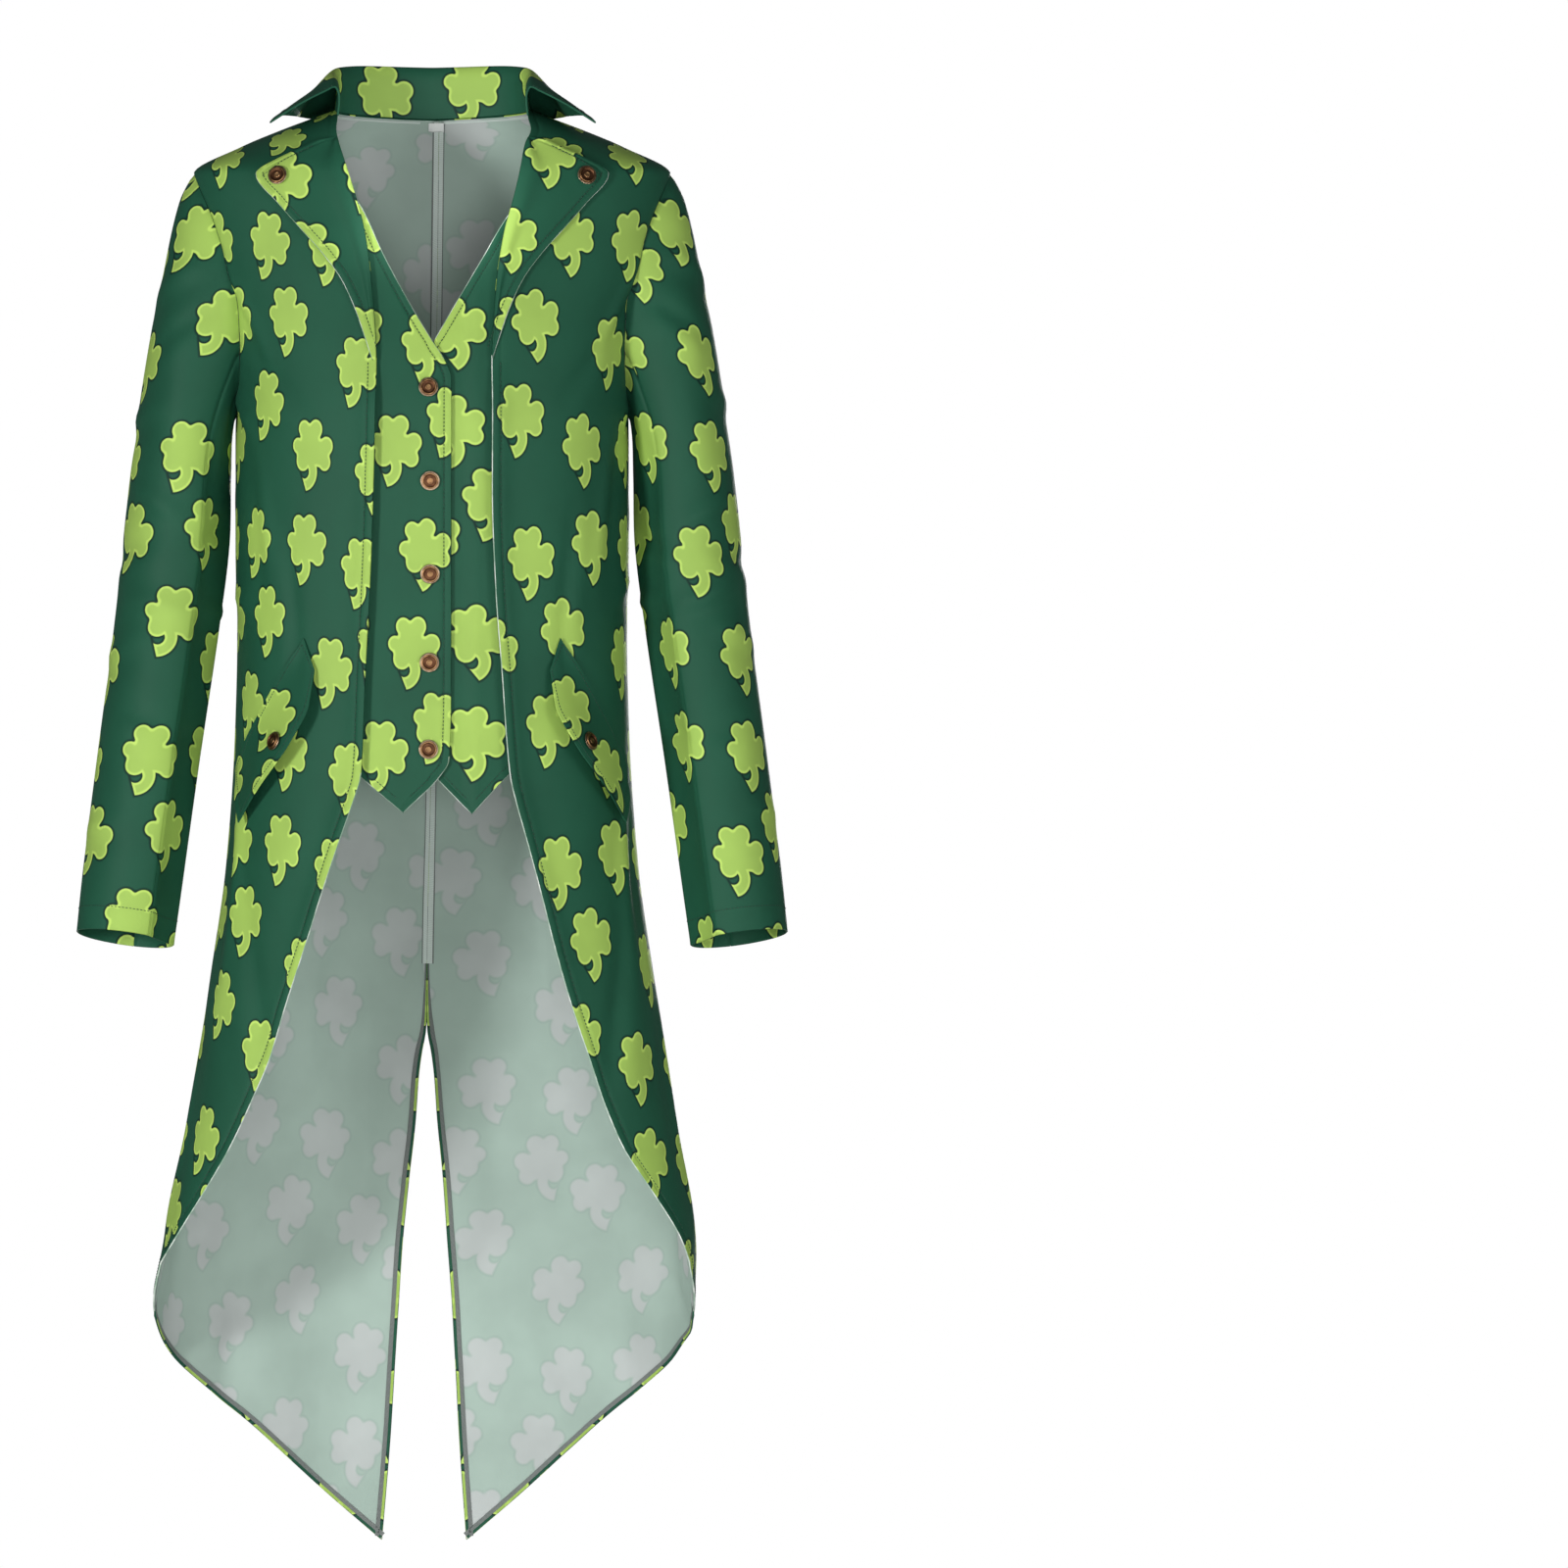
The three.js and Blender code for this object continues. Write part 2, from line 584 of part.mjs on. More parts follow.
// One waistcoat front, sewn to the coat's inner face along its outer edge
function waistcoat(side, rows) {
  const inner = through(rows, 'inner');
  const outer = through(rows, 'outer');
  const sewn = CLOTH + SEAM + FACET;
  const rowsAndButtons = [...rows, ...WAISTCOAT_BUTTONS].map(({ level }) => level);
  return panel({
    side,
    levels: filled(rowsAndButtons.sort((a, b) => b - a), WAISTCOAT_ROWS),
    fore: (level) => angleAt(inner(level), level),
    aft: (level) => Math.max(angleAt(outer(level), level), angleAt(inner(level), level)),
    columns: 7,
    lift: (angle, level, share) => {
      const x = surface(angle, level).x - section.sway(level);
      const dip = side === LEFT ? 1 - within(x, UNDERLAP) : 0;
      const loose = WAISTCOAT_DEPTH + (UNDERLAP.depth - WAISTCOAT_DEPTH) * dip;
      const held = within(x, WAISTCOAT_HELD);
      return -(loose + (sewn - loose) * held);
    },
  });
}

const sleeveSection = {
  x: through(SLEEVES, 'x'),
  y: through(SLEEVES, 'y'),
  half: through(SLEEVES, 'half'),
  depth: through(SLEEVES, 'depth'),
};

// A point of a sleeve by its turn (0 outside, 90 in front) and how far it is down its strand
function onSleeve(side, turn, down) {
  const start = armhole(turn);
  const cosine = Math.cos(radians(turn));
  const sine = Math.sin(radians(turn));
  const end = CUFF.level + CUFF.outward * cosine + CUFF.forward * sine;
  const level = start.level + (end - start.level) * down;
  const tube = (z) => new THREE.Vector3(
    sleeveSection.x(z) + sleeveSection.half(z) * cosine,
    sleeveSection.y(z) - sleeveSection.depth(z) * sine,
    z,
  );
  const seat = onBody(start.angle, start.level, SLEEVE_LIFT).point.sub(tube(start.level));
  const held = Math.max(0, 1 - (start.level - level) / CAP_REACH) ** 2;
  const point = tube(level).addScaledVector(seat, held);
  point.x *= side;
  return point;
}

function sleeve(side, from, to) {
  const turns = steps(from - SLEEVE_STEP, to + SLEEVE_STEP, (to - from) / SLEEVE_STEP + 2);
  const points = SLEEVE_ROWS.map((down) => {
    const row = turns.map((turn) => onSleeve(side, turn, down));
    return side === LEFT ? row.reverse() : row;
  });
  // The outermost columns belong to the neighbouring piece: they only steady the normals
  return wall(dressed(points).map((row) => {
    const kept = row.slice(1, -1);
    const trimmed = (here, next) => {
      const inwards = next.point.clone().sub(here.point).setLength(SEAM / 2);
      return { point: here.point.clone().add(inwards), normal: here.normal };
    };
    return [trimmed(kept[0], kept[1]), ...kept.slice(1, -1), trimmed(kept.at(-1), kept.at(-2))];
  }));
}

const collarSection = {
  heading: through(COLLAR, 'heading', 'at'),
  stand: through(COLLAR, 'stand', 'at'),
  out: through(COLLAR, 'out', 'at'),
  edge: through(COLLAR, 'edge', 'at'),
};

// The neck seam at a place along the collar, from centre back (0) to its front end (1)
function neckSeam(side, at) {
  if (at <= COLLAR_SIDE) {
    const angle = 180 - (90 * at) / COLLAR_SIDE;
    return surface(side * angle, neckLevel(angle));
  }
  const level = NECK.side - (NECK.side - NECK.ends) * ((at - COLLAR_SIDE) / (1 - COLLAR_SIDE));
  return surface(side * angleAt(frontEdges[side](level), level), level);
}

// One section of the collar: up the inside of the stand, over the roll and down the fall
function collarStrip(side, at) {
  const seam = neckSeam(side, at);
  const heading = radians(collarSection.heading(at));
  const outward = new THREE.Vector3(side * Math.sin(heading), -Math.cos(heading), 0);
  const stand = collarSection.stand(at);
  const out = collarSection.out(at);
  const edge = collarSection.edge(at);
  const profile = [
    [-CLOTH, SEAM],
    [-CLOTH - 1.2, stand * 0.45],
    [-CLOTH - 0.8, stand - ROLL - 2],
    [ROLL - CLOTH - 0.8, stand],
    [2 * ROLL - CLOTH + 0.1 * out, stand - ROLL],
    [ROLL + 0.52 * out, edge + (stand - edge) * 0.5],
    [out, edge],
  ];
  const curve = new THREE.CatmullRomCurve3(profile.map(([x, y]) => new THREE.Vector3(x, y, 0)));
  return curve.getPoints(COLLAR_ROWS).map(({ x, y }) => (
    seam.clone().addScaledVector(outward, x).setZ(seam.z + y)
  ));
}

function collar() {
  const places = steps(1, -1, COLLAR_STRIPS);
  const strips = places.map((place) => collarStrip(Math.sign(place) || 1, Math.abs(place)));
  const rows = strips[0].map((_, i) => strips.map((strip) => strip[i]));
  return wall(dressed(rows));
}

// A place on a pocket flap: along its seam, and down from the seam to the free edge
const flapEdge = Object.fromEntries(
  Object.keys(FLAPS[0]).slice(1).map((name) => [name, through(FLAPS, name, 'at')]),
);

function onFlap(at, down) {
  const seat = CLOTH + SEAM + FACET / 2;
  const level = flapEdge.seamLevel(at) + (flapEdge.freeLevel(at) - flapEdge.seamLevel(at)) * down;
  const x = flapEdge.seamX(at) + (flapEdge.freeX(at) - flapEdge.seamX(at)) * down;
  const lift = flapEdge.lift(at) * smooth((FLAP_RISE.steady + FLAP_RISE.late * down) * down);
  return onBody(angleAt(x, level), level, seat + lift).point;
}

function flap(side) {
  const rows = steps(0, 1, 5).map((down) => {
    const row = steps(0, 1, 9).map((at) => {
      const point = onFlap(at, down);
      point.x *= side;
      return point;
    });
    return side === LEFT ? row : row.reverse();
  });
  return wall(dressed(rows));
}

// How far the belt's face stands off the back at a distance from its middle
function beltLift(x) {
  return BELT.cloth + SEAM + FACET / 2 + BELT.slack * Math.cos((Math.PI * x) / 2 / BELT.half);
}

function belt() {
  const places = chain(
    [-BELT.half, -BELT.half + BELT.clip],
    steps(-BELT.half + BELT.clip, BELT.half - BELT.clip, 10),
    [BELT.half - BELT.clip, BELT.half],
  ).map((x) => {
    const end = BELT.half - Math.abs(x);
    const half = BELT.height / 2 - BELT.clip * (1 - Math.min(end / BELT.clip, 1));
    return { x: x + BELT.x, half, lift: beltLift(x) };
  });
  const rows = [1, -1].map((up) => places.map(({ x, half, lift }) => {
    const level = BELT.level + half * up;
    return onBody(angleAt(x, level, true), level, lift);
  }).reverse());
  return wall(rows, BELT.cloth);
}

function tape() {
  const face = -CLOTH - SEAM - FACET - TAPE.cloth;
  const rows = [TAPE.bottom, TAPE.top].map((level) => (
    [TAPE.x - TAPE.half, TAPE.x + TAPE.half].map((x) => {
      const { point, normal } = onBody(angleAt(x, level, true), level, face);
      return { point, normal: normal.negate() };
    })
  ));
  return wall(rows.reverse(), TAPE.cloth);
}

// Buttons

function buttonShape(profile, scale = 1) {
  const turned = [[0, 0], ...profile, [0, profile.at(-1)[1]]];
  const points = turned.map(([radius, height]) => new THREE.Vector2(radius, height));
  const shape = new THREE.LatheGeometry(points, BUTTON_TURNS);
  shape.rotateX(Math.PI / 2);
  return shape.scale(scale, scale, scale);
}

// A mesh whose own +Z stands on a place, along its normal
function seated(mesh, { point, normal }) {
  mesh.position.copy(point).addScaledVector(normal, SEAM);
  mesh.quaternion.setFromUnitVectors(new THREE.Vector3(0, 0, 1), normal);
  return mesh;
}

// The middle and normal of a small patch, for a button on a free-standing piece
function patch(place, side) {
  const [middle, across, down] = [place(0, 0), place(0.02, 0), place(0, 0.02)];
  const normal = down.sub(middle).cross(across.sub(middle)).normalize().multiplyScalar(side);
  return { point: middle, normal };
}

// The garment

const coat = new THREE.Group();

function add(name, geometry, look) {
  const mesh = new THREE.Mesh(geometry, new THREE.MeshStandardMaterial(look));
  mesh.name = name;
  coat.add(mesh);
  return mesh;
}

const sides = [{ name: 'right', side: RIGHT }, { name: 'left', side: LEFT }];
const waistcoats = { right: WAISTCOAT_RIGHT, left: WAISTCOAT_LEFT };
const mirrored = ({ point, normal }, side) => ({
  point: point.setX(point.x * side),
  normal: normal.setX(normal.x * side),
});

for (const { name, side } of sides) {
  add(`back_${name}`, back(side), GREEN);
  add(`front_${name}`, front(side), GREEN);
  add(`lapel_${name}`, lapel(side), GREEN);
  add(`waistcoat_${name}`, waistcoat(side, waistcoats[name]), GREEN);
  add(`sleeve_upper_${name}`, sleeve(side, SLEEVE_SEAMS.back, SLEEVE_SEAMS.front), GREEN);
  add(`sleeve_under_${name}`, sleeve(side, SLEEVE_SEAMS.front, 360 + SLEEVE_SEAMS.back), GREEN);
  add(`flap_${name}`, flap(side), GREEN);

  const lapelLift = CLOTH + SEAM + LAPEL_EDGE;
  const lapelAngle = angleAt(LAPEL_BUTTON.x, LAPEL_BUTTON.level);
  const lapelPlace = onBody(lapelAngle, LAPEL_BUTTON.level, lapelLift);
  seated(add(`button_lapel_${name}`, buttonShape(DISHED), BRONZE), mirrored(lapelPlace, side));

  const flapPlace = patch((a, b) => onFlap(FLAP_BUTTON.at + a, FLAP_BUTTON.down + b), LEFT);
  seated(add(`button_flap_${name}`, buttonShape(DISHED), BRONZE), mirrored(flapPlace, side));

  CUFF_BUTTONS.levels.forEach((level, i) => {
    const { turn } = CUFF_BUTTONS;
    const start = armhole(turn).level;
    const down = (start - level) / (start - CUFF.level);
    const place = patch((a, b) => onSleeve(LEFT, turn - 50 * a, down + b), LEFT);
    place.point.addScaledVector(place.normal, -SLEEVE_FLAT);
    const button = add(`button_cuff_${name}_${i + 1}`, buttonShape(DOMED), BRONZE);
    seated(button, mirrored(place, side));
  });
}

add('collar', collar(), GREEN);
add('back_belt', belt(), GREEN);
add('neck_label', tape(), PALE);

WAISTCOAT_BUTTONS.forEach(({ x, level }, i) => {
  const place = onBody(angleAt(x, level), level, -WAISTCOAT_DEPTH);
  seated(add(`button_waistcoat_${i + 1}`, buttonShape(DISHED), BRONZE), place);
});

for (const { name, x } of BELT_BUTTONS) {
  const lift = beltLift(x) + SEAM;
  const place = onBody(angleAt(x + BELT.x, BELT.level, true), BELT.level, lift);
  seated(add(`button_belt_${name}`, buttonShape(DISHED, BELT_BUTTON), BRONZE), place);
}

export default coat;
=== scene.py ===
"""The looks of a printed costume tailcoat with waistcoat fronts sewn inside it, filled out as worn.

Every form is worked out in millimetres from the coat's own tables, and becomes metres in its mesh.
The coat faces -Y, +Z is up and the wearer's left is +X.
"""

import logging
import math
from dataclasses import dataclass, field
from enum import Enum
from functools import partial
from typing import Callable, Sequence

import bmesh
import bpy
import numpy as np
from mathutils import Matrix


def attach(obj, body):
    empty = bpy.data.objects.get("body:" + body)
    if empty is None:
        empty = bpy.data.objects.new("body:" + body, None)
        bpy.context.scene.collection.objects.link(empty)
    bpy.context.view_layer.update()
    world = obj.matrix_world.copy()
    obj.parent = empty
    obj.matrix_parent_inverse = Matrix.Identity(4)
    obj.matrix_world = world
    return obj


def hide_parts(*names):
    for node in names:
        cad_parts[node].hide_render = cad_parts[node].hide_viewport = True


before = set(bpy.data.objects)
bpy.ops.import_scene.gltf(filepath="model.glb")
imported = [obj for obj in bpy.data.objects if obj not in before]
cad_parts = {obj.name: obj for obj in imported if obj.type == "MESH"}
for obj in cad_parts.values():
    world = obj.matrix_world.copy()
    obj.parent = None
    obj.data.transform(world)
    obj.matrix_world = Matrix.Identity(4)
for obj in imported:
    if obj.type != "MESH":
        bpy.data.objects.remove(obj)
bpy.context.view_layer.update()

log = logging.getLogger("tailcoat")

Array = np.ndarray
Offset = tuple[float, float]
Material = bpy.types.Material
Piece = bpy.types.Object
Rows = tuple[tuple[float, ...], ...]

# A millimetre in metres
MM = 0.001

# In millimetres: the cloth's thickness, the gap at a seam, and room for the solids' flat facets
CLOTH = 1.6
SEAM = 0.3
FACET = 0.9

# Material slots of a piece of cloth, the last of which is a fold's rim with a painted pale highlight,
# and how far its edges bulge as a share of its thickness
FACE, BACK, EDGE, HIGHLIT_FOLD = range(4)
EDGE_BULGE = 0.4
FOLD_BULGE = 0.6

# Levels of the vent's top, the end of the free front edge, the fronts' end and the tails' tips
VENT_TOP = -724
EDGE_END = -980
FRONT_END = -1024
TIP = -1228


class Side(Enum):
    """A side of the wearer, with the sign of its X."""

    RIGHT = -1
    LEFT = 1

    @property
    def word(self) -> str:
        """The side's name in a piece's name."""
        return self.name.lower()

    @property
    def flip(self) -> Array:
        """What turns a place on the left side into the same one on this side."""
        return np.array([self.value, 1, 1])


class Sewn(Enum):
    """Which edge of a panel a pointed row lies on."""

    FORE = "fore"
    AFT = "aft"


@dataclass(frozen=True)
class Curve:
    """A smooth curve through a table's column, without overshoot between its rows."""

    x: Array
    y: Array

    @classmethod
    def through(cls, pairs: Sequence[Offset]) -> "Curve":
        """Makes the curve from pairs of place and value, in any order."""
        ordered = np.array(sorted(pairs), float)
        return cls(ordered[:, 0], ordered[:, 1])

    def __call__(self, place: Array) -> Array:
        """Reads the curve.

        Args:
            place: one place or an array of them.

        Returns:
            The value at each place, held level beyond the ends.
        """
        slopes = np.diff(self.y) / np.diff(self.x)
        before, after = slopes[:-1], slopes[1:]
        turning = before * after <= 0
        total = np.where(turning, 1.0, before + after)
        inner = np.where(turning, 0.0, 2 * before * after / total)
        tangents = np.concatenate([slopes[:1], inner, slopes[-1:]])
        held = np.clip(place, self.x[0], self.x[-1])
        i = np.clip(np.searchsorted(self.x, held) - 1, 0, len(slopes) - 1)
        span = self.x[i + 1] - self.x[i]
        t = (held - self.x[i]) / span
        bend = (1 - t) * tangents[i] - t * tangents[i + 1]
        turn = slopes[i] * (2 * t - 1)
        return self.y[i] + slopes[i] * span * t + span * t * (1 - t) * (bend + turn)


@dataclass(frozen=True)
class Table:
    """Rows of sizes under named columns, the first of which places each row."""

    columns: tuple[str, ...]
    rows: Rows

    def curve(self, name: str) -> Curve:
        """The smooth curve through one column."""
        column = self.columns.index(name)
        return Curve.through([(row[0], row[column]) for row in self.rows])

    def curves(self) -> tuple[Curve, ...]:
        """The curves through every column after the first."""
        return tuple(self.curve(name) for name in self.columns[1:])

    def levels(self) -> list[float]:
        """The places of the rows."""
        return [row[0] for row in self.rows]


# Sections across the worn coat, and the flutes in its skirts
SECTIONS = Table(("level", "half", "front", "back", "sides", "sway"), (
    (15, 84, 46, 62, 14, 0), (8, 103, 55, 70, 13, 0), (-3, 132, 65, 79, 11, 0),
    (-17, 165, 75, 88, 8, 0), (-41, 206.5, 89, 99, 4, 0), (-86, 199, 103, 109, 2, 0),
    (-131, 187.5, 115, 115, 0, 0), (-153, 181, 120, 117, 0, 0), (-200, 173, 129, 118, 0, 0),
    (-250, 170, 134, 115, 0, 0), (-364, 170, 127, 100, 0, 0), (-441, 168.5, 120, 93, 0, 0),
    (-525, 170.5, 123, 103, 0, 0), (-636, 178, 130, 125, 0, 0), (-737, 192, 133, 142, 0, 0),
    (-864, 210, 137, 156, 0, 0), (-950, 228, 141, 164, 0, -1), (-1017, 234, 143, 169, 0, -7),
    (TIP, 238, 146, 177, 0, -7),
))
FLUTES = Table(("angle", "spread", "depth", "top", "bottom"), (
    (66, 15, 5, -560, -1000), (118, 13, 6, -480, -1020),
    (146, 12, -5, -620, -1080), (164, 9, 4, -760, -1120),
))

# Edges and seams, as x from the middle of the coat or as an angle round it
FRONT_EDGES = Table(("level", "right", "left"), (
    (15, 84, 84), (9, 82, 83), (-3, 83, 85.5), (-17, 80, 80), (-41, 72.5, 75.5),
    (-64, 65.5, 70), (-94, 58, 62), (-140, 52, 55), (-204, 48, 51.5), (-315, 50, 51),
    (-400, 53, 54), (-468, 56.5, 59), (-560, 60.5, 66), (-583, 67, 71), (-612, 77, 79),
    (-657, 92, 91), (-707, 108, 104), (-754, 124, 118), (-800, 139, 134), (-876, 171, 162),
    (-920, 194, 189), (-952, 212, 208), (EDGE_END, 228, 222),
))
CUTAWAY = 1.4
SIDE_SEAMS = Table(("level", "angle"), (
    (-250, 90), (-364, 95), (-441, 98), (-737, 97), (FRONT_END, 94),
))
BACK_SEAMS = Table(("level", "x"), (
    (9, 6), (-178, 4), (-577, -1.5), (VENT_TOP, -4.5), (-856, -5), (-950, -5), (-1017, 1), (TIP, 0),
))
VENT_GAPS = Table(("level", "gap"), (
    (VENT_TOP, 0.15), (-768, 0.3), (-784, 1.2), (-800, 4.2), (-822, 7.1), (-860, 9.8),
    (-915, 15.5), (-990, 21.5), (-1070, 26.5), (-1134, 30), (TIP, 37),
))
HEMS = Table(("level", "x"), (
    (FRONT_END, 235.3), (-1040, 230), (-1066, 213), (-1100, 181), (-1140, 138), (-1181, 91),
    (TIP, 37.3),
))


@dataclass(frozen=True)
class Neck:
    """The neck seam: its level at the side, at the collar's ends and at centre back."""

    side: float = 15
    ends: float = 9
    back: float = 9
    hollow: float = 1.3

    def level(self, angle: Array) -> Array:
        """The seam's level at an angle behind the side of the neck."""
        share = np.clip((np.abs(angle) - 90) / 90, 0, 1)
        return self.side - (self.side - self.back) * share ** self.hollow

    def angle(self, level: Array) -> Array:
        """The angle at which the seam has a level."""
        share = np.clip((self.side - level) / (self.side - self.back), 0, 1)
        return 90 + 90 * share ** (1 / self.hollow)


@dataclass(frozen=True)
class Armhole:
    """The armhole: its top and bottom, and its reach before and behind the body's side."""

    top: float = -41
    bottom: float = -250
    before: float = 50
    behind: float = 52


@dataclass(frozen=True)
class Crease:
    """One soft fold: where its middle lies, which way it runs, and its half length and width.

    A positive depth is a ridge with a hollow beside it, and a negative one a trough.
    """

    across: float
    level: float
    tilt: float
    half: float
    width: float
    depth: float

    def push(self, along: Array, level: Array, scale: float) -> Array:
        """How far the fold moves the cloth out.

        Args:
            along: the place round the piece, in degrees.
            level: the level of the place.
            scale: millimetres to a degree.

        Returns:
            The push at each place, in millimetres.
        """
        s = (along - self.across) * scale
        t = level - self.level
        lean = math.radians(self.tilt)
        run = s * math.cos(lean) + t * math.sin(lean)
        off = t * math.cos(lean) - s * math.sin(lean) + 0.05 * run * run / self.half
        reach = np.clip(1 - (run / self.half) ** 2, 0, 1) ** 1.5
        ridge = np.exp(-(off / self.width) ** 2)
        hollow = np.exp(-((off + 1.8 * self.width) / (1.4 * self.width)) ** 2)
        return self.depth * reach * (ridge - 0.45 * hollow)


def creases(*rows: tuple[float, ...]) -> tuple[Crease, ...]:
    """Folds from rows of across, level, tilt, half length, width and depth."""
    return tuple(Crease(*row) for row in rows)


# Folds in the body's cloth by angle and level, each side by itself
BODY_CREASES = {
    Side.LEFT: creases(
        (62, -150, 60, 70, 9, 1.6), (50, -205, 38, 60, 8, -1.2), (73, -255, 24, 52, 8, 1.5),
        (58, -330, 78, 85, 11, 1.4), (40, -400, 84, 90, 9, -1.0), (78, -398, 12, 46, 8, 1.3),
        (66, -640, 82, 120, 13, 2.0), (52, -760, 72, 110, 12, -1.6), (80, -850, 86, 130, 12, 2.0),
        (104, -330, -20, 55, 9, -1.5), (112, -395, -8, 60, 9, 1.8), (128, -452, 10, 55, 9, -1.4),
        (122, -215, -52, 75, 10, 1.8), (140, -150, -62, 80, 11, -1.3), (158, -300, 84, 90, 10, 1.1),
        (130, -620, 84, 150, 14, 2.2), (152, -700, 88, 160, 12, -2.0), (168, -860, 90, 170, 11, 1.8),
        (112, -900, 84, 140, 13, -2.2), (136, -1010, 80, 120, 13, 2.0),
        (120, -1000, 38, 95, 15, 2.6), (142, -940, 46, 105, 16, -2.4), (158, -1080, 62, 90, 13, 1.9),
    ),
    Side.RIGHT: creases(
        (-60, -160, -58, 74, 9, 1.5), (-48, -222, -34, 58, 8, -1.1), (-74, -246, -28, 56, 8, 1.6),
        (-55, -345, -80, 80, 11, 1.2), (-42, -420, -86, 84, 9, -1.1), (-77, -410, -10, 50, 8, 1.4),
        (-68, -655, -84, 112, 13, 2.1), (-50, -740, -70, 120, 12, -1.4), (-82, -880, -86, 120, 12, 2.0),
        (-106, -318, 22, 58, 9, -1.4), (-114, -402, 6, 64, 9, 1.7), (-126, -446, -12, 50, 9, -1.5),
        (-120, -228, 50, 70, 10, 1.7), (-142, -162, 60, 76, 11, -1.2), (-157, -320, -86, 84, 10, 1.2),
        (-128, -640, -86, 140, 14, 2.1), (-150, -720, -88, 150, 12, -1.9),
        (-167, -840, -90, 180, 11, 1.9), (-110, -880, -84, 150, 13, -2.1),
        (-138, -1030, -82, 110, 13, 2.1), (-124, -930, -34, 100, 15, 2.7),
        (-146, -1000, -42, 110, 15, -2.6), (-150, -860, -30, 80, 14, 1.8),
    ),
}

# Folds in the sleeves, by turn round the sleeve and level
SLEEVE_CREASES = {
    Side.LEFT: creases(
        (30, -120, 30, 48, 9, 1.4), (70, -160, 42, 50, 8, -1.3), (20, -235, 16, 40, 8, 1.2),
        (60, -330, -22, 42, 8, 1.5), (25, -372, 14, 46, 9, -1.5), (75, -405, -16, 40, 8, 1.7),
        (35, -440, 20, 40, 8, 1.2), (60, -520, -10, 36, 8, -1.1), (30, -590, 12, 34, 8, 1.0),
        (-60, -150, -36, 46, 9, 1.3), (-70, -250, 24, 44, 9, -1.3), (-50, -380, -14, 48, 9, 1.5),
        (-75, -430, 12, 42, 8, -1.3), (-55, -540, -18, 40, 9, 1.2), (150, -360, 10, 44, 8, -1.6),
        (165, -410, -12, 44, 8, 1.7), (150, -520, 14, 40, 8, -1.2),
    ),
    Side.RIGHT: creases(
        (36, -132, 34, 46, 9, 1.3), (66, -172, 40, 48, 8, -1.2), (24, -250, 12, 42, 8, 1.3),
        (56, -322, -26, 44, 8, 1.6), (30, -366, 18, 44, 9, -1.4), (72, -412, -12, 42, 8, 1.6),
        (28, -452, 16, 38, 8, 1.1), (64, -506, -14, 38, 8, -1.2), (34, -604, 10, 34, 8, 1.1),
        (-64, -164, -32, 48, 9, 1.2), (-66, -262, 20, 42, 9, -1.2), (-54, -368, -18, 46, 9, 1.6),
        (-72, -440, 8, 44, 8, -1.4), (-58, -556, -14, 38, 9, 1.1), (146, -350, 14, 42, 8, -1.5),
        (168, -420, -8, 46, 8, 1.6), (152, -530, 10, 42, 8, -1.3),
    ),
}


def smooth(t: Array) -> Array:
    """A step that starts and ends softly, from 0 at 0 to 1 at 1."""
    held = np.clip(t, 0, 1)
    return held * held * (3 - 2 * held)


def signed_power(value: Array, power: float) -> Array:
    """A power that keeps the sign of its base."""
    return np.sign(value) * np.abs(value) ** power


def unit(vectors: Array) -> Array:
    """The same vectors at length 1."""
    length = np.linalg.norm(vectors, axis=-1, keepdims=True)
    return vectors / np.where(length > 1e-9, length, 1.0)


def arcs(points: Array, axis: int) -> Array:
    """Lengths run along a grid or line of points, from 0 at its start."""
    step = np.linalg.norm(np.diff(points, axis=axis), axis=-1)
    first = np.zeros_like(np.take(step, [0], axis=axis))
    return np.concatenate([first, np.cumsum(step, axis=axis)], axis=axis)


def between(table: Array, row: Array, column: Array) -> Array:
    """Reads a table between its rows and columns.

    Args:
        table: numbers or vectors by row and column.
        row: row numbers with fractions.
        column: column numbers of the same shape.

    Returns:
        The number or vector at each place.
    """
    i = np.clip(row.astype(int), 0, table.shape[0] - 2)
    j = np.clip(column.astype(int), 0, table.shape[1] - 2)
    s, t = row - i, column - j
    if table.ndim > 2:
        s, t = s[..., None], t[..., None]
    top = table[i, j] * (1 - t) + table[i, j + 1] * t
    low = table[i + 1, j] * (1 - t) + table[i + 1, j + 1] * t
    return top * (1 - s) + low * s


def spaced(*runs: tuple[float, float, float]) -> Array:
    """Values in runs of from, to and step, each shared end kept once."""
    values = [np.linspace(a, b, max(2, round(abs(b - a) / step) + 1)) for a, b, step in runs]
    return np.concatenate([values[0]] + [value[1:] for value in values[1:]])


@dataclass(frozen=True)
class Chart:
    """How far cloth runs round and down a form, as a table to read places on the flat from."""

    turns: Array
    levels: Array
    round: Array
    rise: Array

    @classmethod
    def of(cls, form: Callable, turns: Array, levels: Array, reference: float) -> "Chart":
        """Measures a form.

        Args:
            form: gives the places at turns and levels.
            turns: the table's columns, the first of which lies at 0 round.
            levels: its rows, from the top down.
            reference: the level that lies at 0 up.

        Returns:
            The chart.
        """
        turn, level = np.meshgrid(turns, levels)
        places = form(turn, level)
        down = arcs(places, 0)
        at = np.argmin(np.abs(levels - reference))
        return cls(turns, levels, arcs(places, 1), down[at] - down)

    def read(self, turn: Array, level: Array) -> tuple[Array, Array]:
        """The runs round and up to places between the chart's rows and columns."""
        row = np.interp(-level, -self.levels, np.arange(len(self.levels)))
        column = np.interp(turn, self.turns, np.arange(len(self.turns)))
        return between(self.round, row, column), between(self.rise, row, column)


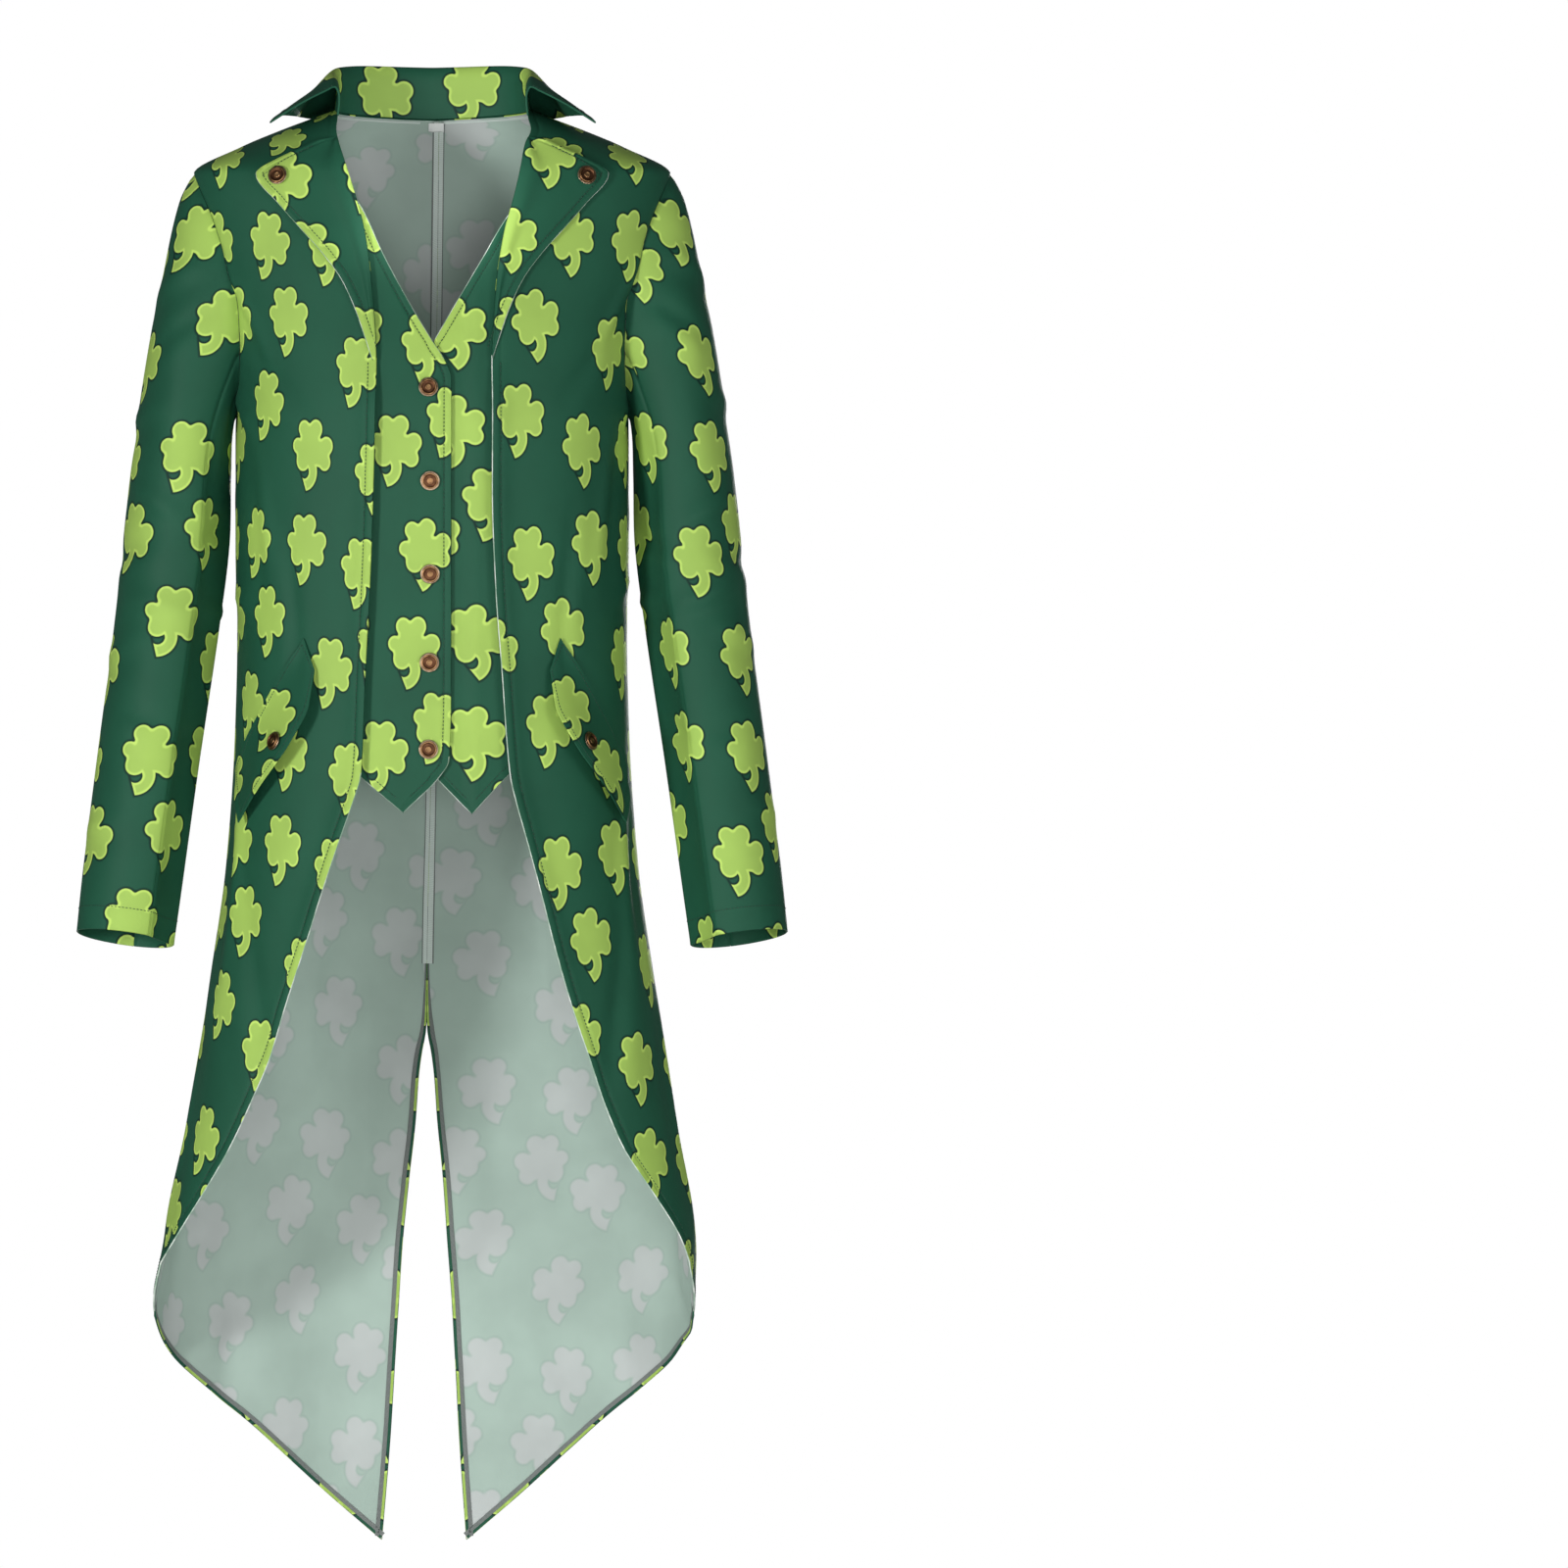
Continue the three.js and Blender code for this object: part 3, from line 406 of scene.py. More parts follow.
@dataclass
class Body:
    """The form that the worn coat takes, by an angle round the wearer and a level.

    The angle is 0 at centre front, 90 at the side and 180 at centre back, and positive to the
    wearer's left.
    """

    squareness: float = 2.3
    crease_scale: float = 3.0
    crease_depth: float = 1.9
    reference: float = -250
    past_front: int = 40
    past_back: int = 10
    neck: Neck = Neck()
    armhole: Armhole = Armhole()

    def __post_init__(self) -> None:
        """Reads the tables, and measures the cloth round and down the body."""
        self.half, self.front, self.back, self.sides, self.sway = SECTIONS.curves()
        self.side_seam = SIDE_SEAMS.curve("angle")
        self.back_seam = BACK_SEAMS.curve("x")
        self.vent_gap = VENT_GAPS.curve("gap")
        self.hem = HEMS.curve("x")
        self.edges = {side: FRONT_EDGES.curve(side.word) for side in Side}
        self.chart = Chart.of(lambda angle, level: self.point(angle, level, creased=False),
                              np.linspace(0, 180, 121), spaced((15, -45, 1.5), (-45, TIP, 7)),
                              self.reference)

    def push(self, angle: Array, level: Array, creased: bool) -> Array:
        """How far flutes and creases push the cloth out."""
        total = np.zeros(np.broadcast(angle, level).shape)
        for middle, spread, depth, top, bottom in FLUTES.rows:
            away = (np.abs(angle) - middle) / spread
            total += depth * smooth((top - level) / (top - bottom)) * np.exp(-away * away)
        if creased:
            for side in Side:
                own = np.sign(angle) * side.value >= 0
                for crease in BODY_CREASES[side]:
                    pushed = crease.push(angle, level, self.crease_scale) * self.crease_depth
                    total += np.where(own, pushed, 0)
        return total

    def point(self, angle: Array, level: Array, creased: bool = True) -> Array:
        """Places on the coat's outer face.

        Args:
            angle: angles round the wearer.
            level: heights, of the same shape.
            creased: whether the soft folds are in the form.

        Returns:
            An array of the same shape with x, y and z.
        """
        turn = np.radians(angle)
        across = signed_power(np.sin(turn), 2 / self.squareness)
        ahead = signed_power(np.cos(turn), 2 / self.squareness)
        push = self.push(angle, level, creased)
        x = self.sway(level) + self.half(level) * across + push * np.sin(turn)
        y = self.sides(level) - self.reach(ahead, level) * ahead - push * np.cos(turn)
        return np.stack([x, y, level + 0 * x], -1)

    def reach(self, ahead: Array, level: Array) -> Array:
        """How far the front, or else the back, stands from the body's sides."""
        sides = self.sides(level)
        return np.where(ahead > 0, self.front(level) + sides, self.back(level) - sides)

    def normal(self, angle: Array, level: Array) -> Array:
        """The outward direction of the cloth at each place."""
        around = self.point(angle + 0.5, level) - self.point(angle - 0.5, level)
        above = np.minimum(level + 0.5, SECTIONS.rows[0][0])
        up = self.point(angle, above) - self.point(angle, above - 1)
        return unit(np.cross(around, up))

    def on(self, angle: Array, level: Array, lift: Array = 0.0) -> tuple[Array, Array]:
        """Places moved out from the coat's face by a lift, with their normals."""
        normal = self.normal(angle, level)
        return self.point(angle, level) + normal * np.asarray(lift)[..., None], normal

    def angle_at(self, x: Array, level: Array, on_back: bool = False) -> Array:
        """The angle at a distance x from the middle, on the front or the back."""
        share = np.minimum(np.abs(x) / self.half(level), 1)
        angle = np.degrees(np.arcsin(share ** (self.squareness / 2)))
        return np.where(np.asarray(x) < 0, -1, 1) * (180 - angle if on_back else angle)

    def angle_beside(self, ahead: Array, level: Array) -> Array:
        """The angle at a distance before (positive) or behind the body's side."""
        share = np.minimum(np.abs(ahead) / self.reach(ahead, level), 1) ** (self.squareness / 2)
        angle = np.degrees(np.arccos(share))
        return np.where(np.abs(ahead) < 0.01, 90, np.where(ahead > 0, angle, 180 - angle))

    def per_degree(self, angle: Array, level: Array) -> Array:
        """Millimetres to a degree round the body."""
        ahead = self.point(angle + 0.5, level, creased=False)
        return np.linalg.norm(ahead - self.point(angle - 0.5, level, creased=False), axis=-1)

    def moved(self, angle: Array, level: Array, distance: float) -> Array:
        """An angle moved along its section by a distance."""
        return angle + distance / self.per_degree(angle, level)

    def runs(self, level: float) -> tuple[Array, Array]:
        """Angles from beyond centre front to beyond centre back, and the cloth's run to each."""
        turns = self.chart.turns
        run, _ = self.chart.read(turns, level + 0 * turns)
        front, back = slice(self.past_front, 0, -1), slice(-2, -2 - self.past_back, -1)
        return (np.concatenate([-turns[front], turns, 360 - turns[back]]),
                np.concatenate([-run[front], run, 2 * run[-1] - run[back]]))

    def flat(self, angle: Array, level: Array, from_back: bool) -> Array:
        """Where places lie on the flat cloth, right and up as seen from outside.

        Args:
            angle: angles round the wearer.
            level: heights, of the same shape.
            from_back: whether the grain is centre back instead of centre front.

        Returns:
            An array of the same shape with the flat x and y in millimetres.
        """
        past = np.abs(angle) > 180
        run, rise = self.chart.read(np.where(past, 360 - np.abs(angle), np.abs(angle)), level)
        whole, _ = self.chart.read(180 + 0 * angle, level)
        run = np.where(past, 2 * whole - run, run)
        sign = np.where(angle < 0, -1, 1)
        return np.stack([sign * (run - whole if from_back else run), rise], -1)

    def front_edge(self, side: Side, level: Array) -> Array:
        """The free front edge, which rounds into the side seam at its lower end."""
        straight = self.angle_at(self.edges[side](level), level)
        start = self.angle_at(self.edges[side](EDGE_END), EDGE_END)
        down = np.clip((EDGE_END - level) / (EDGE_END - FRONT_END), 0, 1)
        curved = start + (self.side_seam(FRONT_END) - start) * down ** CUTAWAY
        return np.where(level >= EDGE_END, straight, curved)

    def armhole_edge(self, which: int, level: Array) -> Array:
        """The armhole's front (1) or back (-1) edge, cut a seam wider than the sleeve."""
        hole = self.armhole
        middle = (hole.top + hole.bottom) / 2
        half = (hole.top - hole.bottom) / 2 + SEAM
        sine = np.sin(np.arccos(np.clip((level - middle) / half, -1, 1)))
        ahead = which * sine * (SEAM + (hole.before if which > 0 else hole.behind))
        return self.angle_beside(ahead, level)

    def sewn_edge(self, which: int, level: Array) -> Array:
        """The outer edge of a front (1) or back (-1): shoulder, armhole, then side seam."""
        hole = self.armhole
        seam = np.where(level > hole.bottom - SEAM,
                        self.armhole_edge(which, level), self.side_seam(level))
        return np.where(level > hole.top + SEAM, 90, seam)

    def back_edge(self, side: Side, level: Array) -> Array:
        """The centre back seam, and the vent's edge below it."""
        opened = np.where(level < VENT_TOP, self.vent_gap(level) - SEAM / 2, 0)
        return 180 - self.angle_at(opened + side.value * self.back_seam(level), level)

    def tail_edge(self, level: Array) -> Array:
        """A back's outer edge below the side seam, which is the tail's hem."""
        hem = 180 - self.angle_at(self.hem(level), level)
        return np.maximum(hem, self.side_seam(FRONT_END))


@dataclass(frozen=True)
class Laid:
    """How the print lies on a piece: where it starts, its tilt, and its ease in soft folds."""

    middle: Offset = (0, 0)
    at: Offset = (0, 0)
    ease: float = 1.0
    rise: float = 1.0
    tilt: float = 0.0

    def on(self, flat: Array) -> Array:
        """Where flat places of the piece lie on the print."""
        x = (flat[..., 0] - self.middle[0]) * self.ease
        y = (flat[..., 1] - self.middle[1]) * self.rise
        cosine, sine = math.cos(math.radians(self.tilt)), math.sin(math.radians(self.tilt))
        return np.stack([x * cosine - y * sine + self.at[0], x * sine + y * cosine + self.at[1]], -1)


# The print on each piece, the two pieces of a sleeve alike
LAID = {
    "back_right": Laid((96, -616), (91, 234), 1.15, 1.01, -7.9),
    "back_left": Laid((-82, -567), (53, 239), 1.02, 1.05, 0.8),
    "front_right": Laid((-144, -199), (130, 131), 1.35, 0.99, 7.1),
    "front_left": Laid((140, -199), (143, 138), 1.2, 0.96, -7.1),
    "lapel_right": Laid((-88, 116), (57, 125), 0.99, 0.95, 4.1),
    "lapel_left": Laid((72, 117), (162, 4), 1.15, 1.05, -5.3),
    "waistcoat_right": Laid((-24, -138), (222, 13), 1.15, 0.98, 3.0),
    "waistcoat_left": Laid((34, -53), (21, 168), 0.95, 0.96, -3.9),
    "sleeve_right": Laid((81, 289), (84, 86), 0.95, 0.98, 2.4),
    "sleeve_left": Laid((-67, 354), (217, 141), 1.09, 0.99, -2.7),
    "collar": Laid(at=(52, 188)),
    "flap_right": Laid(at=(97, 24)),
    "flap_left": Laid(at=(100, 10)),
    "back_belt": Laid(at=(92, 94)),
}


@dataclass(frozen=True)
class Rims:
    """The material slots of a piece's four edges, one to an edge or to each face along it."""

    top: Array | int = EDGE
    bottom: Array | int = EDGE
    left: Array | int = EDGE
    right: Array | int = EDGE

    def turned(self) -> "Rims":
        """The same with left and right exchanged."""
        return Rims(self.top, self.bottom, self.right, self.left)


@dataclass
class Grid:
    """A piece of cloth as rows and columns of places on its right side.

    The rows run down it and, seen from the right side, the columns run from left to right. The
    flat places are where the same cloth lies before it is sewn.
    """

    points: Array
    normals: Array
    flat: Array
    rims: Rims = Rims()

    def area(self) -> float:
        """The flat cut's area in square metres."""
        a, b = self.flat[:-1, :-1], self.flat[1:, :-1]
        c, d = self.flat[1:, 1:], self.flat[:-1, 1:]
        p, q = c - a, d - b
        return float(np.abs(p[..., 0] * q[..., 1] - p[..., 1] * q[..., 0]).sum() / 2) * MM * MM

    def size(self) -> tuple[float, float]:
        """The flat cut's width and length in metres."""
        spread = np.ptp(self.flat.reshape(-1, 2), axis=0) * MM
        return float(spread[0]), float(spread[1])

    def mirrored(self) -> "Grid":
        """The same grid with its columns in the other order."""
        return Grid(self.points[:, ::-1], self.normals[:, ::-1], self.flat[:, ::-1],
                    self.rims.turned())

    def line(self, rows: Array, columns: Array) -> tuple[Array, Array]:
        """Places and normals along a line over the grid, by its row and column numbers."""
        return between(self.points, rows, columns), unit(between(self.normals, rows, columns))


def linked(name: str, data: bpy.types.ID) -> Piece:
    """Makes an object of a mesh, lamp or camera and puts it in the scene."""
    thing = bpy.data.objects.new(name, data)
    bpy.context.scene.collection.objects.link(thing)
    return thing


def turns_round(steps: int) -> Array:
    """Even turns round a circle, for rings of points."""
    return np.linspace(0, 2 * math.pi, steps, endpoint=False)[None, :, None]


def normals_of(points: Array) -> Array:
    """Normals of a grid of points, from their neighbours."""
    return unit(np.cross(np.gradient(points, axis=0), np.gradient(points, axis=1)))


class Term:
    """A number in a material, on which Python's operators add Math nodes."""

    def __init__(self, nodes: "Nodes", socket: bpy.types.NodeSocket) -> None:
        """Wraps a socket of a node tree."""
        self.nodes = nodes
        self.socket = socket

    def math(self, operation: str, *others: "Term | float") -> "Term":
        """Adds one Math node on this value and others."""
        inputs = dict(enumerate((self, *others)))
        return self.nodes.add("ShaderNodeMath", {"operation": operation}, inputs)

    def __add__(self, other: "Term | float") -> "Term":
        """Adds a value."""
        return self.math("ADD", other)

    __radd__ = __add__

    def __sub__(self, other: "Term | float") -> "Term":
        """Takes a value away."""
        return self.math("SUBTRACT", other)

    def __rsub__(self, other: float) -> "Term":
        """Is taken away from a number."""
        return (self * -1) + other

    def __mul__(self, other: "Term | float") -> "Term":
        """Multiplies by a value."""
        return self.math("MULTIPLY", other)

    __rmul__ = __mul__

    def __abs__(self) -> "Term":
        """The value without its sign."""
        return self.math("ABSOLUTE")

    def least(self, other: "Term | float", blend: float = 0) -> "Term":
        """The smaller of two values, joined softly over a blend."""
        if blend:
            return self.math("SMOOTH_MIN", other, blend)
        return self.math("MINIMUM", other)

    def most(self, other: "Term | float") -> "Term":
        """The larger of two values."""
        return self.math("MAXIMUM", other)

    def step(self, low: float, high: float) -> "Term":
        """A soft step from 0 at low to 1 at high."""
        settings = {"interpolation_type": "SMOOTHSTEP"}
        inputs = {"Value": self, "From Min": low, "From Max": high}
        return self.nodes.add("ShaderNodeMapRange", settings, inputs)


class Nodes:
    """A material in the making."""

    def __init__(self, name: str) -> None:
        """Starts an empty material of a name."""
        self.material = bpy.data.materials.new(name)
        self.material.use_nodes = True
        self.tree = self.material.node_tree
        self.tree.nodes.clear()

    def add(self, kind: str, settings: dict, inputs: dict, output: int | str = 0) -> Term:
        """Adds a node.

        Args:
            kind: the node's type.
            settings: its options, which are set first.
            inputs: values or terms by socket number or name.
            output: the socket that is wanted.

        Returns:
            The wanted socket as a term.
        """
        node = self.tree.nodes.new(kind)
        for name, value in settings.items():
            setattr(node, name, value)
        for name, value in inputs.items():
            if isinstance(value, Term):
                self.tree.links.new(value.socket, node.inputs[name])
            else:
                node.inputs[name].default_value = value
        return Term(self, node.outputs[output])

    def vector(self, operation: str, *inputs: "Term | tuple", output: int = 0) -> Term:
        """Adds a Vector Math node."""
        return self.add("ShaderNodeVectorMath", {"operation": operation},
                        dict(enumerate(inputs)), output)

    def mix(self, share: Term | float, first: "Term | tuple", second: "Term | tuple") -> Term:
        """Mixes two colours."""
        return self.add("ShaderNodeMix", {"data_type": "RGBA"}, {0: share, 6: first, 7: second}, 2)

    def flat(self) -> Term:
        """The place on the flat cloth, in metres."""
        return self.add("ShaderNodeUVMap", {"uv_map": "flat"}, {})

    def place(self) -> Term:
        """The place on the object."""
        return self.add("ShaderNodeTexCoord", {}, {}, "Object")

    def noise(self, place: Term, scale: float, detail: float = 2) -> Term:
        """A soft noise from 0 to 1."""
        inputs = {"Vector": place, "Scale": scale, "Detail": detail}
        return self.add("ShaderNodeTexNoise", {}, inputs)

    def ribs(self, place: Term, across: tuple, pitch: float) -> Term:
        """Even ribs from -1 to 1 across a direction, at a pitch in millimetres."""
        slanted = self.vector("DOT_PRODUCT", place, across, output=1)
        return (slanted * (2 * math.pi / (pitch * MM))).math("SINE")

    def bump(self, height: Term, strength: float, distance: float) -> Term:
        """Turns a height into a normal."""
        return self.add("ShaderNodeBump", {},
                        {"Strength": strength, "Distance": distance, "Height": height})

    def finish(self, inputs: dict) -> Material:
        """Ends the material in one Principled shader.

        Args:
            inputs: the shader's values or terms by socket name.

        Returns:
            The finished material.
        """
        shader = self.add("ShaderNodeBsdfPrincipled", {}, inputs)
        output = self.tree.nodes.new("ShaderNodeOutputMaterial")
        self.tree.links.new(shader.socket, output.inputs["Surface"])
        return self.material


def srgb(red: float, green: float, blue: float) -> tuple[float, float, float, float]:
    """A colour as a screen shows it, from 0 to 255, as the linear colour of a shader."""
    share = np.array([red, green, blue]) / 255
    linear = np.where(share <= 0.04045, share / 12.92, ((share + 0.055) / 1.055) ** 2.4)
    return (*linear.tolist(), 1.0)


@dataclass(frozen=True)
class Shamrock:
    """A three-leaved clover with a curved stalk, in millimetres about where its leaves meet."""

    lobes: Rows = (
        (-10.6, 18.4, 7.3), (4.2, 17.8, 8.3), (17.6, 3.4, 8.1), (15.6, -10.4, 7.2),
        (-19.4, 4.2, 6.6), (-12.2, -8.6, 8.9))
    fills: Rows = (
        (-3.2, 10, 12.2), (0, -1, 13.2), (9.5, -2.5, 11.6), (-10, 0, 11))
    soften: float = 3.6
    stalk_soften: float = 0.8
    stalk_centre: Offset = (-10.3, -18.3)
    stalk_radius: float = 11
    stalk_half: float = 5.2
    stalk_top: float = -9.0
    cut_at: Offset = (-10.4, -29.5)
    cut_faces: Offset = (-0.92, -0.4)

    def distance(self, nodes: Nodes, place: Term) -> Term:
        """How far a place lies outside the shape.

        Args:
            nodes: the material in the making.
            place: the place about the shape's middle, as a vector.

        Returns:
            The distance in millimetres, negative inside.
        """
        leaves = None
        for across, up, radius in self.lobes + self.fills:
            disc = nodes.vector("DISTANCE", place, (across, up, 0), output=1) - radius
            leaves = disc if leaves is None else leaves.least(disc, self.soften)
        y = nodes.add("ShaderNodeSeparateXYZ", {}, {0: place}, 1)
        centre = (*self.stalk_centre, 0)
        arc = abs(nodes.vector("DISTANCE", place, centre, output=1) - self.stalk_radius)
        faces = (*self.cut_faces, 0)
        cut = nodes.vector("DOT_PRODUCT", place, faces, output=1) - float(
            np.dot(self.cut_at, self.cut_faces))
        stalk = (arc - self.stalk_half).most(cut).most(y - self.stalk_top)
        return leaves.least(stalk, self.stalk_soften)


@dataclass(frozen=True)
class Print:
    """The printed repeat: its size and the places and tilts of its shamrocks, charted."""

    width: float = 225
    height: float = 258
    motif: Shamrock = Shamrock()
    chart: Rows = (
        (10, 207, -4), (88, 215, 2), (163, 219, -6),
        (38, 144, 5), (117, 152, -9), (208, 118, -2),
        (17, 32, -12), (91, 75, 4), (161, 42, -7))

    def distance(self, nodes: Nodes) -> Term:
        """How far each place of the cloth lies outside its nearest shamrock.

        Args:
            nodes: the material in the making.

        Returns:
            The distance in millimetres.
        """
        place = nodes.vector("MULTIPLY", nodes.flat(), (1 / MM, 1 / MM, 0))
        high = (self.width / 2, self.height / 2, 0)
        low = tuple(-value for value in high)
        best = offset = tilt = None
        for x, y, lean in self.chart:
            away = nodes.vector("WRAP", nodes.vector("SUBTRACT", place, (x, y, 0)), high, low)
            length = nodes.vector("LENGTH", away, output=1)
            if best is None:
                best, offset, tilt = length, away, length * 0 + math.radians(lean)
                continue
            nearer = length.math("LESS_THAN", best)
            best = best.least(length)
            offset = nodes.add("ShaderNodeMix", {"data_type": "VECTOR"},
                               {0: nearer, 4: offset, 5: away}, 1)
            tilt = tilt + nearer * (math.radians(lean) - tilt)
        turned = nodes.add("ShaderNodeVectorRotate", {"rotation_type": "Z_AXIS"},
                           {"Vector": offset, "Angle": tilt})
        return self.motif.distance(nodes, turned)


@dataclass(frozen=True)
class Weave:
    """The satin-faced twill of the cloth: its ribs, slubs, mottling and gloss."""

    pitch: float = 0.9
    slant: float = 0.6
    depth: float = 0.06
    slub_scale: float = 900
    cloud_scale: float = 14
    mottling: float = 0.14
    uneven: float = 0.1
    gloss: float = 0.16

    def dress(self, nodes: Nodes, colour: Term, rough: float) -> Material:
        """Ends a cloth material with its ribs, mottling and gloss.

        Args:
            nodes: the material in the making.
            colour: the colour of the print.
            rough: the cloth's roughness.

        Returns:
            The finished material.
        """
        flat = nodes.flat()
        ribs = nodes.ribs(flat, (1, self.slant, 0), self.pitch)
        slubs = nodes.noise(flat, self.slub_scale, 1)
        cloudy = nodes.noise(flat, self.cloud_scale, 3)
        shade = cloudy.step(0.25, 0.75) * self.mottling + (1 - self.mottling / 2)
        grey = nodes.add("ShaderNodeCombineColor", {}, {0: shade, 1: shade, 2: shade})
        tinted = nodes.add("ShaderNodeMix", {"data_type": "RGBA", "blend_type": "MULTIPLY"},
                           {0: 1.0, 6: colour, 7: grey}, 2)
        return nodes.finish({
            "Base Color": tinted,
            "Roughness": cloudy * self.uneven + (rough - self.uneven / 2),
            "Specular IOR Level": self.gloss,
            "Normal": nodes.bump(ribs * 0.5 + slubs, 0.5, self.depth * MM),
        })


@dataclass(frozen=True)
class RightSide:
    """The printed face: dark green with light green shamrocks, each with a paler rim."""

    ground: tuple = srgb(27, 77, 57)
    outline: tuple = srgb(8, 42, 34)
    leaf: tuple = srgb(150, 181, 86)
    rim: tuple = srgb(177, 207, 100)
    outline_spread: Offset = (0.8, 2.8)
    rim_spread: Offset = (-2.7, -1.1)
    edge: float = 0.35
    rough: float = 0.6
    printed: Print = Print()
    weave: Weave = Weave()

    def material(self) -> Material:
        """Makes the material."""
        nodes = Nodes("printed_cloth")
        away = self.printed.distance(nodes)
        ground = nodes.mix(away.step(*self.outline_spread), self.outline, self.ground)
        leaf = nodes.mix(away.step(*self.rim_spread), self.leaf, self.rim)
        colour = nodes.mix(away.step(-self.edge, self.edge), leaf, ground)
        return self.weave.dress(nodes, colour, self.rough)


@dataclass(frozen=True)
class WrongSide:
    """The unprinted back of the cloth, where the print shows through as pale shapes."""

    ground: tuple = srgb(157, 176, 166)
    leaf: tuple = srgb(175, 181, 179)
    outline: tuple = srgb(151, 169, 160)
    outline_spread: Offset = (0.6, 3.4)
    edge: float = 1.4
    rough: float = 0.65
    printed: Print = Print()
    weave: Weave = Weave()

    def material(self) -> Material:
        """Makes the material."""
        nodes = Nodes("cloth_wrong_side")
        away = self.printed.distance(nodes)
        ground = nodes.mix(away.step(*self.outline_spread), self.outline, self.ground)
        colour = nodes.mix(away.step(-self.edge, self.edge), self.leaf, ground)
        return self.weave.dress(nodes, colour, self.rough)


@dataclass(frozen=True)
class FoldedEdge:
    """A painted highlight on folded edges: a pale green-grey that stands in for the light the edge
    catches, in random patches of paler and greener tone.
    """

    colour: tuple = srgb(218, 226, 218)
    green: tuple = srgb(138, 170, 148)
    patch_scale: float = 60

    def material(self) -> Material:
        """Makes the material."""
        nodes = Nodes("folded_edge")
        patches = nodes.noise(nodes.place(), self.patch_scale, 3)
        return nodes.finish({
            "Base Color": nodes.mix(patches.step(0.35, 0.65), self.green, self.colour),
            "Roughness": patches * 0.2 + 0.5,
        })


@dataclass(frozen=True)
class Thread:
    """Sewing thread or an overlocked edge, with the pitch of its strands."""

    name: str
    colour: tuple
    dark: tuple
    pitch: float = 1.1
    slant: float = 0.35
    depth: float = 0.3
    wear_scale: float = 400

    def material(self) -> Material:
        """Makes the material."""
        nodes = Nodes(self.name)
        flat = nodes.flat()
        strands = nodes.ribs(flat, (self.slant, 1, 0), self.pitch) * 0.5 + 0.5
        wear_and_highlight = nodes.noise(flat, self.wear_scale)
        return nodes.finish({
            # The colour darkens where the strands' bump sinks, painted shade in the grooves; the wear
            # noise adds random tone
            "Base Color": nodes.mix(strands * 0.6 + wear_and_highlight * 0.4, self.dark, self.colour),
            "Roughness": wear_and_highlight * 0.2 + 0.5,
            "Normal": nodes.bump(strands, 0.6, self.depth * MM),
        })


@dataclass(frozen=True)
class Metal:
    """Plated metal, with darker patches and fine scuffs."""

    name: str
    colour: tuple
    dark: tuple
    rough: float
    depth: float = 0.06
    patch_scale: float = 260
    scuff_scale: float = 1800

    def material(self) -> Material:
        """Makes the material."""
        nodes = Nodes(self.name)
        place = nodes.place()
        patches = nodes.noise(place, self.patch_scale, 3)
        scuffs = nodes.noise(place, self.scuff_scale)
        return nodes.finish({
            "Base Color": nodes.mix(patches.step(0.2, 0.8), self.dark, self.colour),
            "Metallic": 1.0,
            "Roughness": patches * 0.14 + scuffs * 0.08 + (self.rough - 0.1),
            "Normal": nodes.bump(scuffs, 0.25, self.depth * MM),
        })


@dataclass
class Finishes:
    """Every material of the coat, made once."""

    def __post_init__(self) -> None:
        """Makes the materials."""
        self.right = RightSide().material()
        self.wrong = WrongSide().material()
        # fold is the painted pale highlight for the rims of folded edges
        self.fold = FoldedEdge().material()
        self.serging = Thread("grey_serging", srgb(128, 134, 131), srgb(70, 76, 74)).material()
        self.plain = Thread("pressed_allowance", srgb(200, 210, 205), srgb(182, 194, 188), 2).material()
        self.sewing = Thread("green_thread", srgb(24, 66, 48), srgb(14, 42, 30)).material()
        self.tape = Thread("label_tape", srgb(236, 238, 236), srgb(208, 212, 210), 0.7).material()
        self.bronze = Metal("antique_bronze", srgb(158, 120, 84), srgb(104, 74, 50), 0.34).material()
        self.brown = Metal("browned_recess", srgb(98, 66, 46), srgb(64, 42, 30), 0.44).material()
        self.gold = Metal("worn_gold", srgb(150, 116, 80), srgb(104, 78, 52), 0.42).material()
        self.nickel = Metal("pale_ring", srgb(168, 146, 122), srgb(98, 78, 62), 0.34).material()
        self.copper = Metal("copper_disc", srgb(208, 128, 70), srgb(158, 88, 44), 0.34).material()


